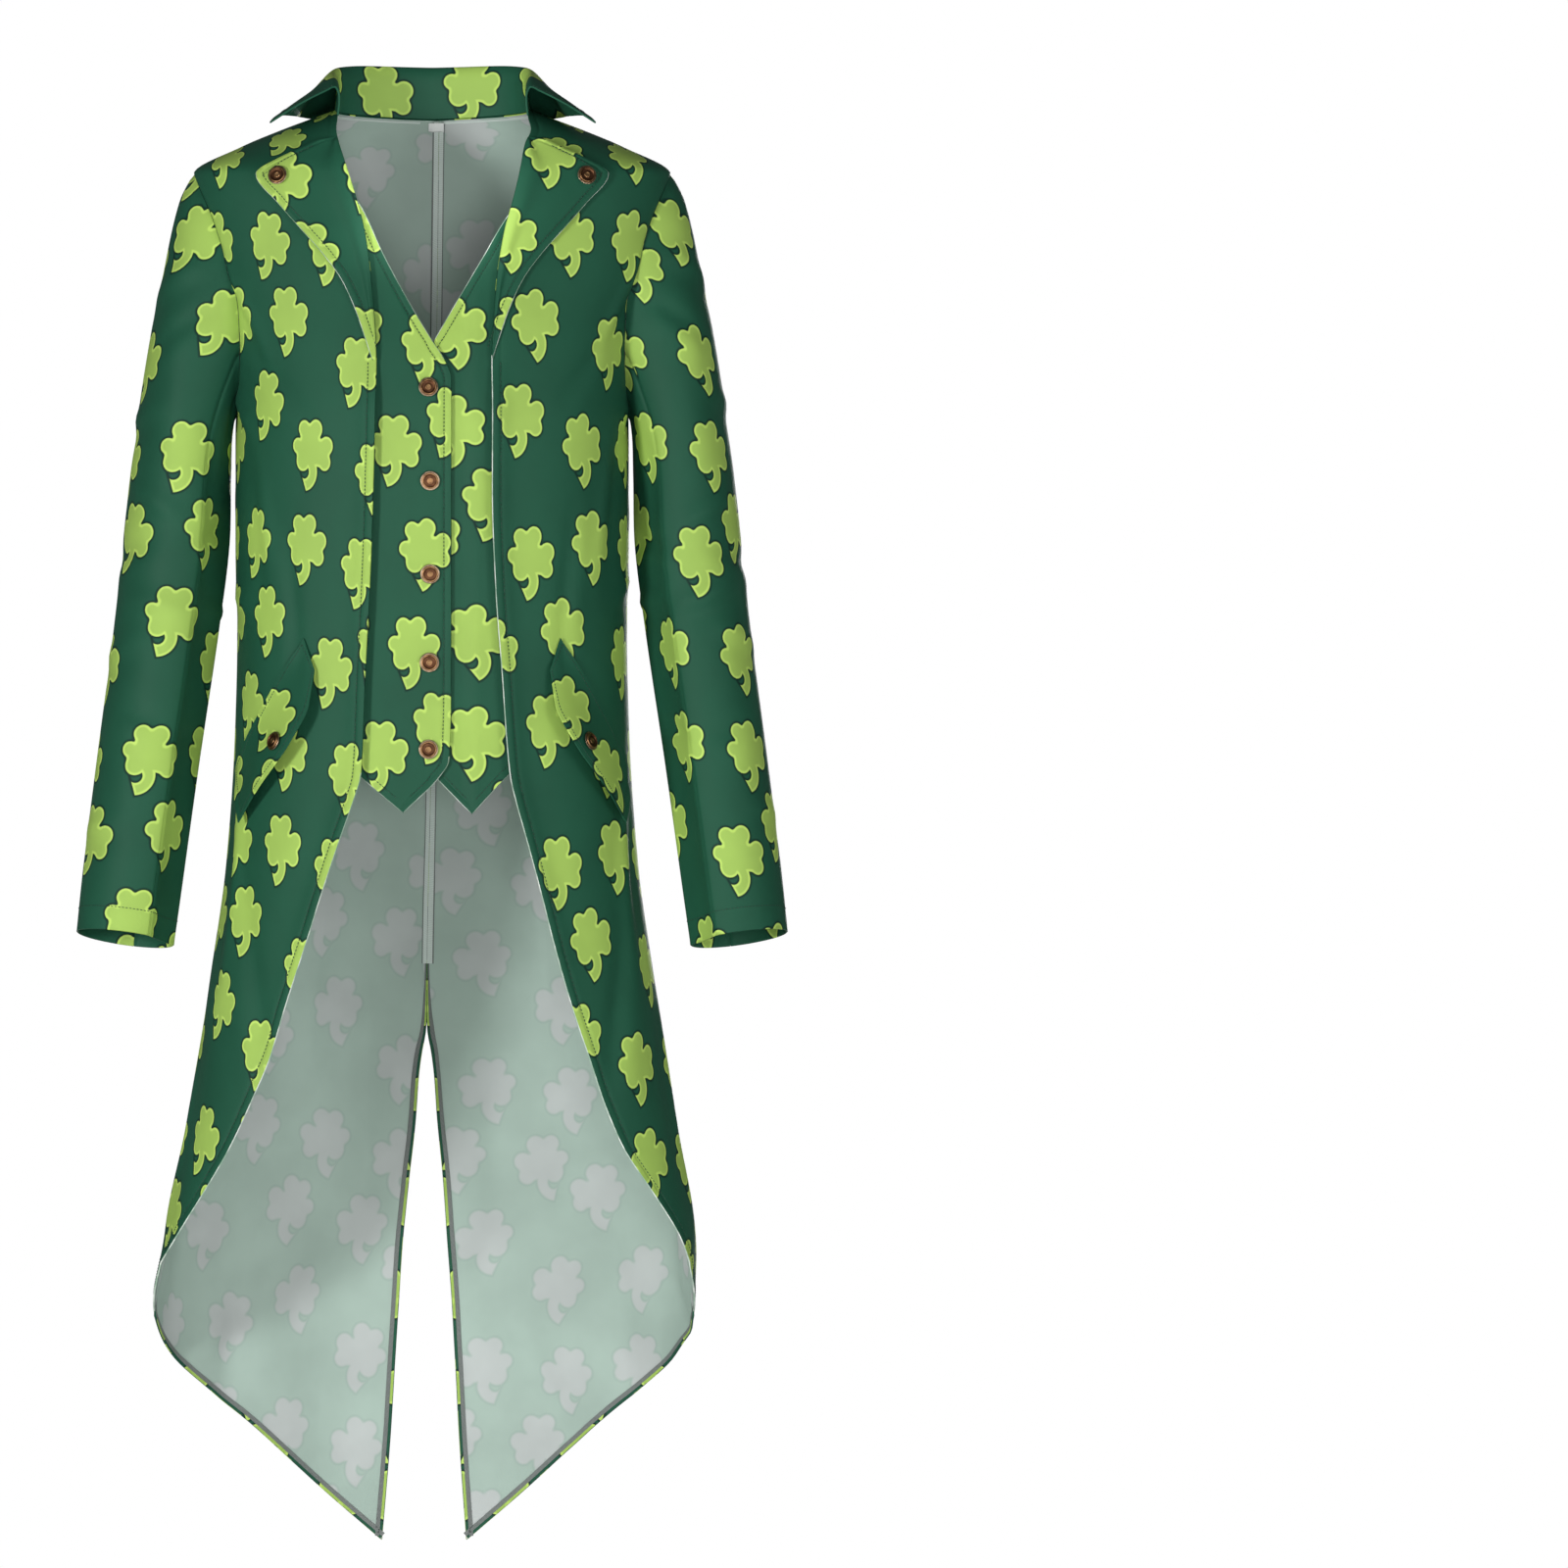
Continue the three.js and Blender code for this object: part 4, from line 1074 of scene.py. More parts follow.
@dataclass
class Shell:
    """A mesh in the making, from grids of cloth and turned shapes."""

    name: str
    vertices: list = field(default_factory=list)
    flat: list = field(default_factory=list)
    faces: list = field(default_factory=list)
    kinds: list = field(default_factory=list)
    count: int = 0

    def put(self, points: Array, flat: Array) -> Array:
        """Adds vertices and returns their numbers in the shape of the points."""
        total = int(np.prod(points.shape[:-1]))
        numbers = self.count + np.arange(total).reshape(points.shape[:-1])
        self.vertices.append(points.reshape(-1, 3))
        self.flat.append(flat.reshape(-1, 2))
        self.count += total
        return numbers

    def quads(self, numbers: Array, kind: Array | int, flipped: bool = False) -> None:
        """Adds the faces between rows and columns of vertices.

        Args:
            numbers: the vertices' numbers as a grid.
            kind: the slot of the faces, one or a grid of them.
            flipped: whether the faces turn the other way.
        """
        a, b, c, d = numbers[:-1, :-1], numbers[1:, :-1], numbers[1:, 1:], numbers[:-1, 1:]
        order = (a, d, c, b) if flipped else (a, b, c, d)
        self.faces.append(np.stack(order, -1).reshape(-1, 4))
        self.kinds.append(np.broadcast_to(kind, a.shape).reshape(-1))

    def cloth(self, grid: Grid, thickness: float, inner: Array | int, laid: Laid = Laid()) -> None:
        """Adds a closed wall of cloth with a rounded edge.

        Args:
            grid: the cloth's right side.
            thickness: the wall's thickness in millimetres.
            inner: the slot of the wrong side's faces, one or a grid of them.
            laid: how the print lies on it.
        """
        back = grid.points - grid.normals * thickness
        flat = laid.on(grid.flat)
        outer = self.put(grid.points, flat)
        inside = self.put(back, flat)
        self.quads(outer, FACE)
        self.quads(inside, inner, flipped=True)
        middle = (grid.points + back) / 2
        rims = grid.rims
        for edge, beside, slots in ((0, 1, (rims.top, rims.left)),
                                    (-1, -2, (rims.bottom, rims.right))):
            for across, slot in enumerate(slots):
                points = middle.swapaxes(0, 1) if across else middle
                line = (flat.swapaxes(0, 1) if across else flat)[edge]
                along = np.broadcast_to(slot, len(line) - 1)
                folded = np.append(along, along[-1:]) == HIGHLIT_FOLD
                bulge = thickness * np.where(folded, FOLD_BULGE, EDGE_BULGE)
                out = unit(points[edge] - points[beside]) * bulge[:, None]
                ring = self.put((points[edge] + out)[None], line[None])[0]
                first = (outer.T if across else outer)[edge]
                second = (inside.T if across else inside)[edge]
                strip = np.stack([first, ring, second])
                self.quads(strip, along, flipped=(edge == 0) != bool(across))

    def turned(self, profile: Sequence[tuple], place: Array, normal: Array, steps: int) -> None:
        """Adds a shape turned about a normal.

        Args:
            profile: rows of radius, height and the slot of the band that ends there.
            place: where its axis stands.
            normal: the direction of its axis.
            steps: how many sides it has.
        """
        axis = unit(np.asarray(normal, float))
        side = unit(np.cross(axis, (0.0, 0.1, 1.0)))
        other = np.cross(axis, side)
        turn = turns_round(steps)
        radius = np.array([row[0] for row in profile])[:, None, None]
        height = np.array([row[1] for row in profile])[:, None, None]
        points = place + axis * height + radius * (side * np.cos(turn) + other * np.sin(turn))
        numbers = self.put(points, points[..., :2])
        kinds = np.array([row[2] for row in profile[1:]])[:, None]
        self.quads(np.concatenate([numbers, numbers[:, :1]], 1), kinds)

    def stitches(self, points: Array, normals: Array, pitch: float, gauge: float) -> None:
        """Adds a row of stitches along a line.

        Args:
            points: places along the line, on the cloth.
            normals: the cloth's normals there.
            pitch: the length of a stitch and the hole after it.
            gauge: the thread's thickness.
        """
        run = arcs(points, 0)
        count = int(run[-1] // pitch)
        if count < 1:
            return
        starts = (np.arange(count) + 0.12) * run[-1] / count
        profile = ((0.0, 0.15), (0.2, 0.9), (0.5, 1.0), (0.8, 0.9), (1.0, 0.15))
        sides = 5
        for start in starts:
            at = start + np.array([row[0] for row in profile]) * pitch * 0.74
            line = np.stack([np.interp(at, run, points[:, k]) for k in range(3)], -1)
            up = unit(np.stack([np.interp(at, run, normals[:, k]) for k in range(3)], -1))
            along = unit(line[-1:] - line[:1])
            across = unit(np.cross(along, up))
            turn = turns_round(sides)
            thick = np.array([row[1] for row in profile])[:, None, None] * gauge / 2
            ring = across[:, None] * np.cos(turn) + up[:, None] * np.sin(turn)
            raised = line[:, None] + up[:, None] * gauge * 0.12
            numbers = self.put(raised + ring * thick, raised[..., :2] + ring[..., :2] * thick)
            self.quads(np.concatenate([numbers, numbers[:, :1]], 1), 0)
            for end, flipped in ((numbers[0], False), (numbers[-1], True)):
                cap = end[::-1] if flipped else end
                self.faces.append(np.array([[cap[0], cap[1], cap[2], cap[3]]]))
                self.faces.append(np.array([[cap[0], cap[3], cap[4], cap[4]]]))
                self.kinds.append(np.array([0, 0]))

    def build(self, materials: Sequence[Material]) -> Piece:
        """Makes the object.

        Args:
            materials: the material of each slot.

        Returns:
            The object, in metres, linked to the scene.
        """
        places = np.concatenate(self.vertices) * MM
        flat = np.concatenate(self.flat) * MM
        faces = np.concatenate(self.faces)
        kinds = np.concatenate(self.kinds)
        mesh = bpy.data.meshes.new(self.name)
        rows = [[v for k, v in enumerate(row) if v not in row[:k]] for row in faces.tolist()]
        kept = [k for k, row in enumerate(rows) if len(row) > 2]
        mesh.from_pydata(places.tolist(), [], [rows[k] for k in kept])
        mesh.polygons.foreach_set("material_index", kinds[kept].astype(np.int32))
        layer = mesh.uv_layers.new(name="flat")
        corners = np.zeros(len(mesh.loops), np.int32)
        mesh.loops.foreach_get("vertex_index", corners)
        layer.data.foreach_set("uv", flat[corners].astype(np.float32).ravel())
        for material in materials:
            mesh.materials.append(material)
        self.weld(mesh)
        return linked(self.name, mesh)

    @staticmethod
    def weld(mesh: bpy.types.Mesh) -> None:
        """Joins what meets in a point, and keeps the borders between slots crisp."""
        work = bmesh.new()
        work.from_mesh(mesh)
        bmesh.ops.remove_doubles(work, verts=work.verts, dist=0.02 * MM)
        bmesh.ops.dissolve_degenerate(work, edges=work.edges, dist=0.01 * MM)
        for face in work.faces:
            face.smooth = True
        for edge in work.edges:
            slots = {face.material_index for face in edge.link_faces}
            edge.smooth = len(slots) < 2
        work.to_mesh(mesh)
        work.free()
        mesh.update()


@dataclass
class Workroom:
    """What every piece of the coat is made with."""

    body: Body
    finishes: Finishes

    def fit(self, piece: Piece, slot: str, *nodes: str) -> Piece:
        """Hangs a piece on the coat's body, in place of its construction pieces."""
        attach(piece, "root")
        if nodes:
            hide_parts(*nodes)
        log.info("%s: %d faces", piece.name, len(piece.data.polygons))
        return piece

    def cut(self, node: str, grid: Grid, rests_on: Sequence[str], lined: bool = False,
            thickness: float = 1.3, inner: Array | int = BACK) -> None:
        """Makes one cut-and-sewn piece of cloth.

        Args:
            node: the construction piece that it stands for.
            grid: its right side.
            rests_on: the pieces that it is sewn to; not used.
            lined: whether both its sides are the printed face.
            thickness: the thickness of the cloth.
            inner: the slot of its wrong side's faces.
        """
        shell = Shell(f"{node}_cloth")
        laid = LAID[node.replace("_upper", "").replace("_under", "")]
        shell.cloth(grid, thickness, inner, laid)
        right, wrong = self.finishes.right, self.finishes.wrong
        # The fourth slot is the painted pale highlight on fold rims
        piece = shell.build([right, right if lined else wrong, right, self.finishes.fold])
        self.fit(piece, "printed_cloth", node)
        area = min(grid.area(), grid.size()[0] * grid.size()[1])
        grid.size()

    def sew(self, name: str, lines: Sequence[tuple[Array, Array]], pitch: float = 3.2,
            gauge: float = 0.75) -> None:
        """Makes one object of all the stitches along some lines."""
        shell = Shell(name)
        for points, normals in lines:
            shell.stitches(points, normals, pitch, gauge)
        self.fit(shell.build([self.finishes.sewing]), "printed_cloth")


# The thickness of turned hems, overlocking and tape
RIBBON = 0.3


@dataclass(frozen=True)
class Line:
    """A line on the body, by its angles and levels."""

    body: Body
    angles: Array
    levels: Array

    def offset(self, distance: float) -> "Line":
        """The same line moved to its left, as it runs, over the cloth."""
        scale = self.body.per_degree(self.angles, self.levels)
        s, t = np.gradient(self.angles) * scale, np.gradient(self.levels)
        length = np.maximum(np.hypot(s, t), 1e-6)
        return Line(self.body, self.angles - distance * t / length / scale,
                    self.levels + distance * s / length)

    def place(self, lift: Array = 0.0) -> tuple[Array, Array]:
        """The line's points and normals at a lift."""
        return self.body.on(self.angles, self.levels, lift)

    def ribbon(self, shell: Shell, near: float, far: float, lift: float) -> None:
        """Adds a narrow ribbon between two offsets of the line, which looks into the coat.

        Args:
            shell: the mesh that it is added to.
            near: the ribbon's first offset.
            far: its second one.
            lift: how far its face stands off the coat's face.
        """
        lines = [self.offset(near + (far - near) * share) for share in (0, 0.34, 0.67, 1)]
        pairs = [line.place(lift) for line in lines]
        points = np.stack([pair[0] for pair in pairs], 1)
        flat = np.stack([arcs(points, 1), arcs(points, 0)], -1)
        normals = normals_of(points)
        outward = np.stack([pair[1] for pair in pairs], 1)
        grid = Grid(points, normals, flat)
        if (normals * outward).sum() > 0:
            grid = Grid(points[:, ::-1], -normals[:, ::-1], flat[:, ::-1])
        shell.cloth(grid, RIBBON, FACE)


@dataclass(frozen=True)
class Border:
    """The cloth beside an edge: how far it dips into its seam, and where a stitch line sinks in."""

    dip: float = 0.0
    stitch: float = 0.0
    sink: float = 0.8
    sink_spread: float = 1.3
    dip_spread: float = 2.4

    def push(self, distance: Array) -> Array:
        """How far the cloth moves out at a distance from the edge."""
        fall = -self.dip * np.exp(-(distance / self.dip_spread) ** 2)
        if self.stitch:
            fall = fall - self.sink * np.exp(-((distance - self.stitch) / self.sink_spread) ** 2)
        return fall


SEWN_IN = Border(dip=1.3)

# Places of the first columns in from a panel's edge, closer together where a panel is narrower
STEPS_IN = np.array([0, 0.8, 1.8, 3, 4.6, 6, 7.2, 8.4, 10, 13])
FULL_WIDTH = 52


@dataclass
class Panel:
    """A piece of cloth that lies on the body between a fore and an aft edge."""

    side: Side
    levels: Array
    fore: Callable[[Array], Array]
    aft: Callable[[Array], Array]
    columns: int
    sewn: Sewn = Sewn.AFT
    from_back: bool = False
    lift: Callable[[Array, Array, Array], Array] = lambda angle, level, share: 0 * angle
    fore_border: Border = Border()
    aft_border: Border = SEWN_IN
    rims: Rims = Rims()

    def grid(self, body: Body) -> Grid:
        """Lays the piece on the body."""
        start = body.moved(self.fore(self.levels), self.levels, SEAM / 2)
        end = body.moved(self.aft(self.levels), self.levels, -SEAM / 2)
        crossed = start > end
        point = end if self.sewn is Sewn.AFT else start
        start, end = np.where(crossed, point, start), np.where(crossed, point, end)
        angles, shares, widths = [], [], []
        for level, first, last in zip(self.levels, start, end):
            turns, run = body.runs(level)
            low, high = np.interp((first, last), turns, run)
            edge = STEPS_IN * min(1.0, (high - low) / FULL_WIDTH)
            count = self.columns + 3 - 2 * len(STEPS_IN)
            inner = np.linspace(edge[-1], high - low - edge[-1], count)[1:-1]
            along = np.concatenate([edge, inner, (high - low - edge)[::-1]])
            angles.append(np.interp(low + along, run, turns))
            widths.append(high - low)
            shares.append(along / max(high - low, 1e-6))
        angle, share = np.array(angles), np.array(shares)
        width = np.array(widths)[:, None]
        level = self.levels[:, None] + 0 * angle
        wide = smooth(2 * width / FULL_WIDTH)
        lift = self.lift(angle, level, share) + wide * (
            self.fore_border.push(share * width) + self.aft_border.push((1 - share) * width))
        signed = self.side.value * angle
        points, normals = body.on(signed, level, lift)
        flat = body.flat(signed, level, self.from_back)
        grid = Grid(points, normals, flat, self.rims)
        return grid if self.side is Side.LEFT else grid.mirrored()


BODY_LEVELS = spaced((15, 9, 0.5), (9, -45, 3), (-45, -250, 5), (-250, EDGE_END, 7.5),
                     (EDGE_END, FRONT_END, 3))


@dataclass
class Fronts:
    """The coat's fronts with their cut-away skirts, and the sewing along their edges."""

    room: Workroom
    columns: int = 58
    topstitch: float = 7.2
    proud: float = 5.0
    proud_spread: float = 13
    proud_from: float = -200
    proud_to: float = -640
    # Levels below which the free edge's rim has a painted pale highlight
    worn_from: dict = field(default_factory=lambda: {Side.RIGHT: -560, Side.LEFT: -204})

    def lift(self, side: Side, angle: Array, level: Array) -> Array:
        """How far the cloth beside the free edge stands off, below the lapel."""
        body = self.room.body
        near = (angle - body.front_edge(side, level)) * body.per_degree(angle, level)
        shown = smooth((self.proud_from - level) / 50) * (1 - smooth((self.proud_to - level) / 200))
        return self.proud * np.exp(-(near / self.proud_spread) ** 2) * shown

    def make(self) -> None:
        """Makes both fronts and their topstitching."""
        body = self.room.body
        lines = []
        for side in Side:
            # The free edge's rim below these levels gets the painted pale highlight
            wear_and_highlight = np.where(BODY_LEVELS[1:] < self.worn_from[side], HIGHLIT_FOLD, EDGE)
            panel = Panel(side, BODY_LEVELS, partial(body.front_edge, side),
                          partial(body.sewn_edge, 1), self.columns,
                          fore_border=Border(stitch=self.topstitch), rims=Rims(left=wear_and_highlight),
                          lift=lambda angle, level, share, s=side: self.lift(s, angle, level))
            rests_on = [f"back_{side.word}", f"sleeve_upper_{side.word}", "collar"]
            self.room.cut(f"front_{side.word}", panel.grid(body), rests_on)
            levels = spaced((-206, FRONT_END + 2, 4))
            edge = Line(body, side.value * body.front_edge(side, levels), levels)
            edge = edge.offset(side.value * self.topstitch)
            lines.append(edge.place(self.lift(side, np.abs(edge.angles), edge.levels)))
        self.room.sew("stitches_fronts", lines)


@dataclass
class Backs:
    """The two halves of the back with their pointed tails, seams, vent and hems."""

    room: Workroom
    columns: int = 62
    hem_turn: float = 2.6
    serge: float = 3.6
    allowance: float = 4.0
    vent_start: float = 0.3
    vent_grows: float = 90
    inside: float = CLOTH + 0.35

    def make(self) -> None:
        """Makes both halves, then what is sewn to their wrong sides."""
        body = self.room.body
        levels = np.concatenate([BODY_LEVELS, spaced((FRONT_END, TIP, 4))[1:]])
        neck = body.neck
        for side in Side:
            def aft(level: Array, s: Side = side) -> Array:
                """Neck seam at the top, then centre back and the vent."""
                return np.where(level > neck.back, neck.angle(level), body.back_edge(s, level))

            def fore(level: Array) -> Array:
                """Shoulder, armhole and side seam, then the hem."""
                return np.where(level > FRONT_END, body.sewn_edge(-1, level),
                                body.tail_edge(level))

            panel = Panel(side, levels, fore, aft, self.columns, Sewn.FORE, True,
                          fore_border=Border(dip=0.5), aft_border=Border(dip=0.6))
            rests_on = [f"front_{side.word}", f"back_{Side(-side.value).word}", "collar"]
            self.room.cut(f"back_{side.word}", panel.grid(body), rests_on)
        self.trim()

    def line(self, side: Side, edge: Callable[[Array], Array], *run: float) -> Line:
        """A line down one of the edges, along a run of levels."""
        levels = spaced(run)
        return Line(self.room.body, side.value * edge(levels), levels)

    def trim(self) -> None:
        """Makes the turned hems, the overlocked edges and the topstitching."""
        body, finishes = self.room.body, self.room.finishes
        turned, serged, pressed = Shell("turned_hems"), Shell("serged_edges"), Shell("pressed_seam")
        lines = []
        for side in Side:
            sign, face = side.value, -self.inside
            middle = partial(body.back_edge, side)
            seam = self.line(side, middle, 7, VENT_TOP, 5)
            vent = self.line(side, middle, VENT_TOP, TIP + 3, 4)
            hem = self.line(side, body.tail_edge, FRONT_END - 2, TIP + 1, 3)
            for line, inner in ((vent, -sign), (hem, sign)):
                grown = smooth((VENT_TOP - line.levels) / self.vent_grows)
                grown = self.vent_start + (1 - self.vent_start) * grown
                turn, far = self.hem_turn * grown, (self.hem_turn + self.serge) * grown
                line.ribbon(turned, inner * 0.2, inner * turn, face)
                line.ribbon(serged, inner * turn, inner * far, face - 0.1)
                lines.append(line.offset(inner * (far - 0.4)).place())
            wide = self.allowance
            seam.ribbon(pressed, -sign * 0.2, -sign * wide, face)
            seam.ribbon(serged, -sign * wide, -sign * (wide + 0.8), face)
            angles = np.linspace(100, 176, 60)
            neck = Line(body, sign * angles, body.neck.level(angles) - 1.5)
            neck.ribbon(pressed, 0, -sign * 1.5, face)
            side_line = self.line(side, body.side_seam, -256, FRONT_END, 6)
            for near in (-5.5, 5.5):
                side_line.ribbon(serged, near, near * 1.4, face)
        fit = self.room.fit
        fit(turned.build([finishes.right] * 3), "printed_cloth")
        fit(serged.build([finishes.serging] * 3), "printed_cloth")
        fit(pressed.build([finishes.plain] * 3), "printed_cloth")
        self.room.sew("stitches_back", lines)


LAPELS = Table(("level", "x"), (
    (-12, 83.5), (-15, 94.5), (-24, 113.5), (-32, 131), (-43.5, 150), (-70, 130), (-91, 112),
    (-114, 92), (-136, 76.5), (-160, 65.5), (-182, 58), (-204, 51),
))


@dataclass
class Lapels:
    """The turned-back lapels, proud at their fold and at their free edge."""

    room: Workroom
    columns: int = 40
    tip: float = -43.5
    roll: float = 2.4
    roll_at: float = 0.14
    roll_spread: float = 0.12
    edge_lift: float = 3.4
    full: float = 20
    topstitch: float = 6.5
    outline: Curve = LAPELS.curve("x")

    def lift(self, side: Side, level: Array, share: Array) -> Array:
        """How far a lapel's face stands off the coat's face."""
        width = smooth((self.outline(level) - self.room.body.edges[side](level)) / self.full)
        roll = np.exp(-((share - self.roll_at) / self.roll_spread) ** 2)
        rise = self.edge_lift * smooth((share - self.roll_at) / (1 - self.roll_at))
        return CLOTH + SEAM + width * (self.roll * roll + rise)

    def make(self) -> None:
        """Makes both lapels and their topstitching."""
        body = self.room.body
        lines = []
        for side in Side:
            def aft(level: Array, s: Side = side) -> Array:
                """The free edge, out to the tip and back to the fold."""
                return np.maximum(body.angle_at(self.outline(level), level),
                                  body.front_edge(s, level))

            levels = spaced((-12, self.tip, 1.5), (self.tip, -204, 4))
            # The lapel's free edge rim has the painted pale highlight
            panel = Panel(side, levels, partial(body.front_edge, side), aft,
                          self.columns, Sewn.FORE, rims=Rims(right=HIGHLIT_FOLD),
                          lift=lambda angle, level, share, s=side: self.lift(s, level, share),
                          aft_border=Border(dip=0.5, stitch=self.topstitch))
            rests_on = [f"front_{side.word}"]
            self.room.cut(f"lapel_{side.word}", panel.grid(body), rests_on, lined=True)
            long, short = spaced((self.tip, -196, 4)), spaced((-18, self.tip, 1.5))
            shares = np.clip(1 - self.topstitch / np.maximum(self.outline(long) - 50, 6), 0, 1)
            for levels, share in ((long, shares), (short, np.full(len(short), 0.85))):
                edge = Line(body, side.value * aft(levels), levels)
                edge = edge.offset(-side.value * self.topstitch)
                lines.append(edge.place(self.lift(side, levels, share) + 0.1))
        self.room.sew("stitches_lapels", lines)


WAISTCOATS = {
    Side.RIGHT: Table(("level", "inner", "outer"), (
        (-40, 92, 92), (-64, 66, 99), (-114, 41.5, 106), (-153, 20.5, 108), (-187, 0, 109),
        (-203, -10.2, 110), (-219, -16.5, 110), (-300, -16.3, 110), (-400, -16.3, 110),
        (-500, -16, 112), (-520, -15.6, 114), (-548, -14, 76), (-560, -7, 63.5),
        (-592, 25.4, 25.4))),
    Side.LEFT: Table(("level", "inner", "outer"), (
        (-44, 92, 92), (-84, 62, 102), (-114, 44.5, 106), (-153, 21, 108), (-186, 1.7, 109),
        (-203, -8, 110), (-216, -13, 110), (-300, -13, 110), (-400, -13, 110), (-500, -13, 112),
        (-520, -13, 114), (-544, -13, 84), (-562, 4, 64), (-593, 34.7, 34.7))),
}


@dataclass
class Waistcoat:
    """The waistcoat fronts, sewn to the coat inside, the right one over the left."""

    room: Workroom
    columns: int = 44
    depth: float = 4.8
    under: float = 9.2
    under_from: float = 24
    under_to: float = 40
    held_from: float = 80
    held_to: float = 100
    neck_end: float = -206
    points_from: float = -544
    topstitch: float = 6.0

    def lift(self, side: Side, x: Array) -> Array:
        """How far a front's face lies under the coat's face, by its distance from the middle."""
        dips = 1 - smooth((x - self.under_from) / (self.under_to - self.under_from))
        loose = self.depth + (self.under - self.depth) * (dips if side is Side.LEFT else 0)
        held = smooth((x - self.held_from) / (self.held_to - self.held_from))
        return -(loose + (CLOTH + SEAM + FACET - loose) * held)

    def make(self) -> None:
        """Makes both fronts and the stitching round their edges."""
        body = self.room.body
        lines = []
        for side in Side:
            table = WAISTCOATS[side]
            inner, outer = table.curve("inner"), table.curve("outer")
            top, low = table.levels()[0], table.levels()[-1]

            def aft(level: Array, edge: Curve = outer, free: Curve = inner) -> Array:
                """The edge sewn under the coat's front, and the point's outer side."""
                return np.maximum(body.angle_at(edge(level), level),
                                  body.angle_at(free(level), level))

            def lift(angle: Array, level: Array, share: Array, s: Side = side) -> Array:
                """The waistcoat's depth under the coat."""
                x = body.half(level) * signed_power(
                    np.sin(np.radians(angle)), 2 / body.squareness)
                return self.lift(s, x)

            levels = spaced((top, -219, 4), (-219, -520, 7), (-520, low, 2))
            # The neckline's rim and the points' rims have the painted pale highlight
            point = np.where(levels[1:] < self.points_from, HIGHLIT_FOLD, EDGE)
            neckline = np.where(levels[1:] > self.neck_end, HIGHLIT_FOLD, point)
            panel = Panel(side, levels, lambda level, edge=inner: body.angle_at(edge(level), level), aft,
                          self.columns, lift=lift, fore_border=Border(stitch=self.topstitch),
                          aft_border=Border(), rims=Rims(left=neckline, right=point))
            rests_on = [f"front_{side.word}"]
            self.room.cut(f"waistcoat_{side.word}", panel.grid(body), rests_on)
            for edge, levels, way in (
                    (inner, spaced((top - 22, -216, 4), (-216, low + 9, 5)), 1),
                    (outer, spaced((-540, low + 8, 2.5)), -1)):
                line = Line(body, side.value * body.angle_at(edge(levels), levels), levels)
                line = line.offset(way * side.value * self.topstitch)
                x = side.value * line.place()[0][:, 0]
                lines.append(line.place(self.lift(side, x) + 0.05))
        self.room.sew("stitches_waistcoat", lines)


SLEEVES = Table(("level", "x", "y", "half", "depth"), (
    (-41, 176.5, 2, 30, 46), (-64, 182, 1, 36, 51), (-120, 189, 0, 42, 58),
    (-178, 199.5, 0, 43.5, 62), (-263, 214, 0, 41.8, 63.5), (-300, 217.2, -1, 43.6, 62.5),
    (-364, 221.4, -4, 46.2, 60), (-436, 229.8, -9, 45.6, 57), (-551, 245.6, -21, 44.5, 52),
    (-644, 257.7, -33, 43.8, 48), (-705, 265, -42, 42.6, 45),
))


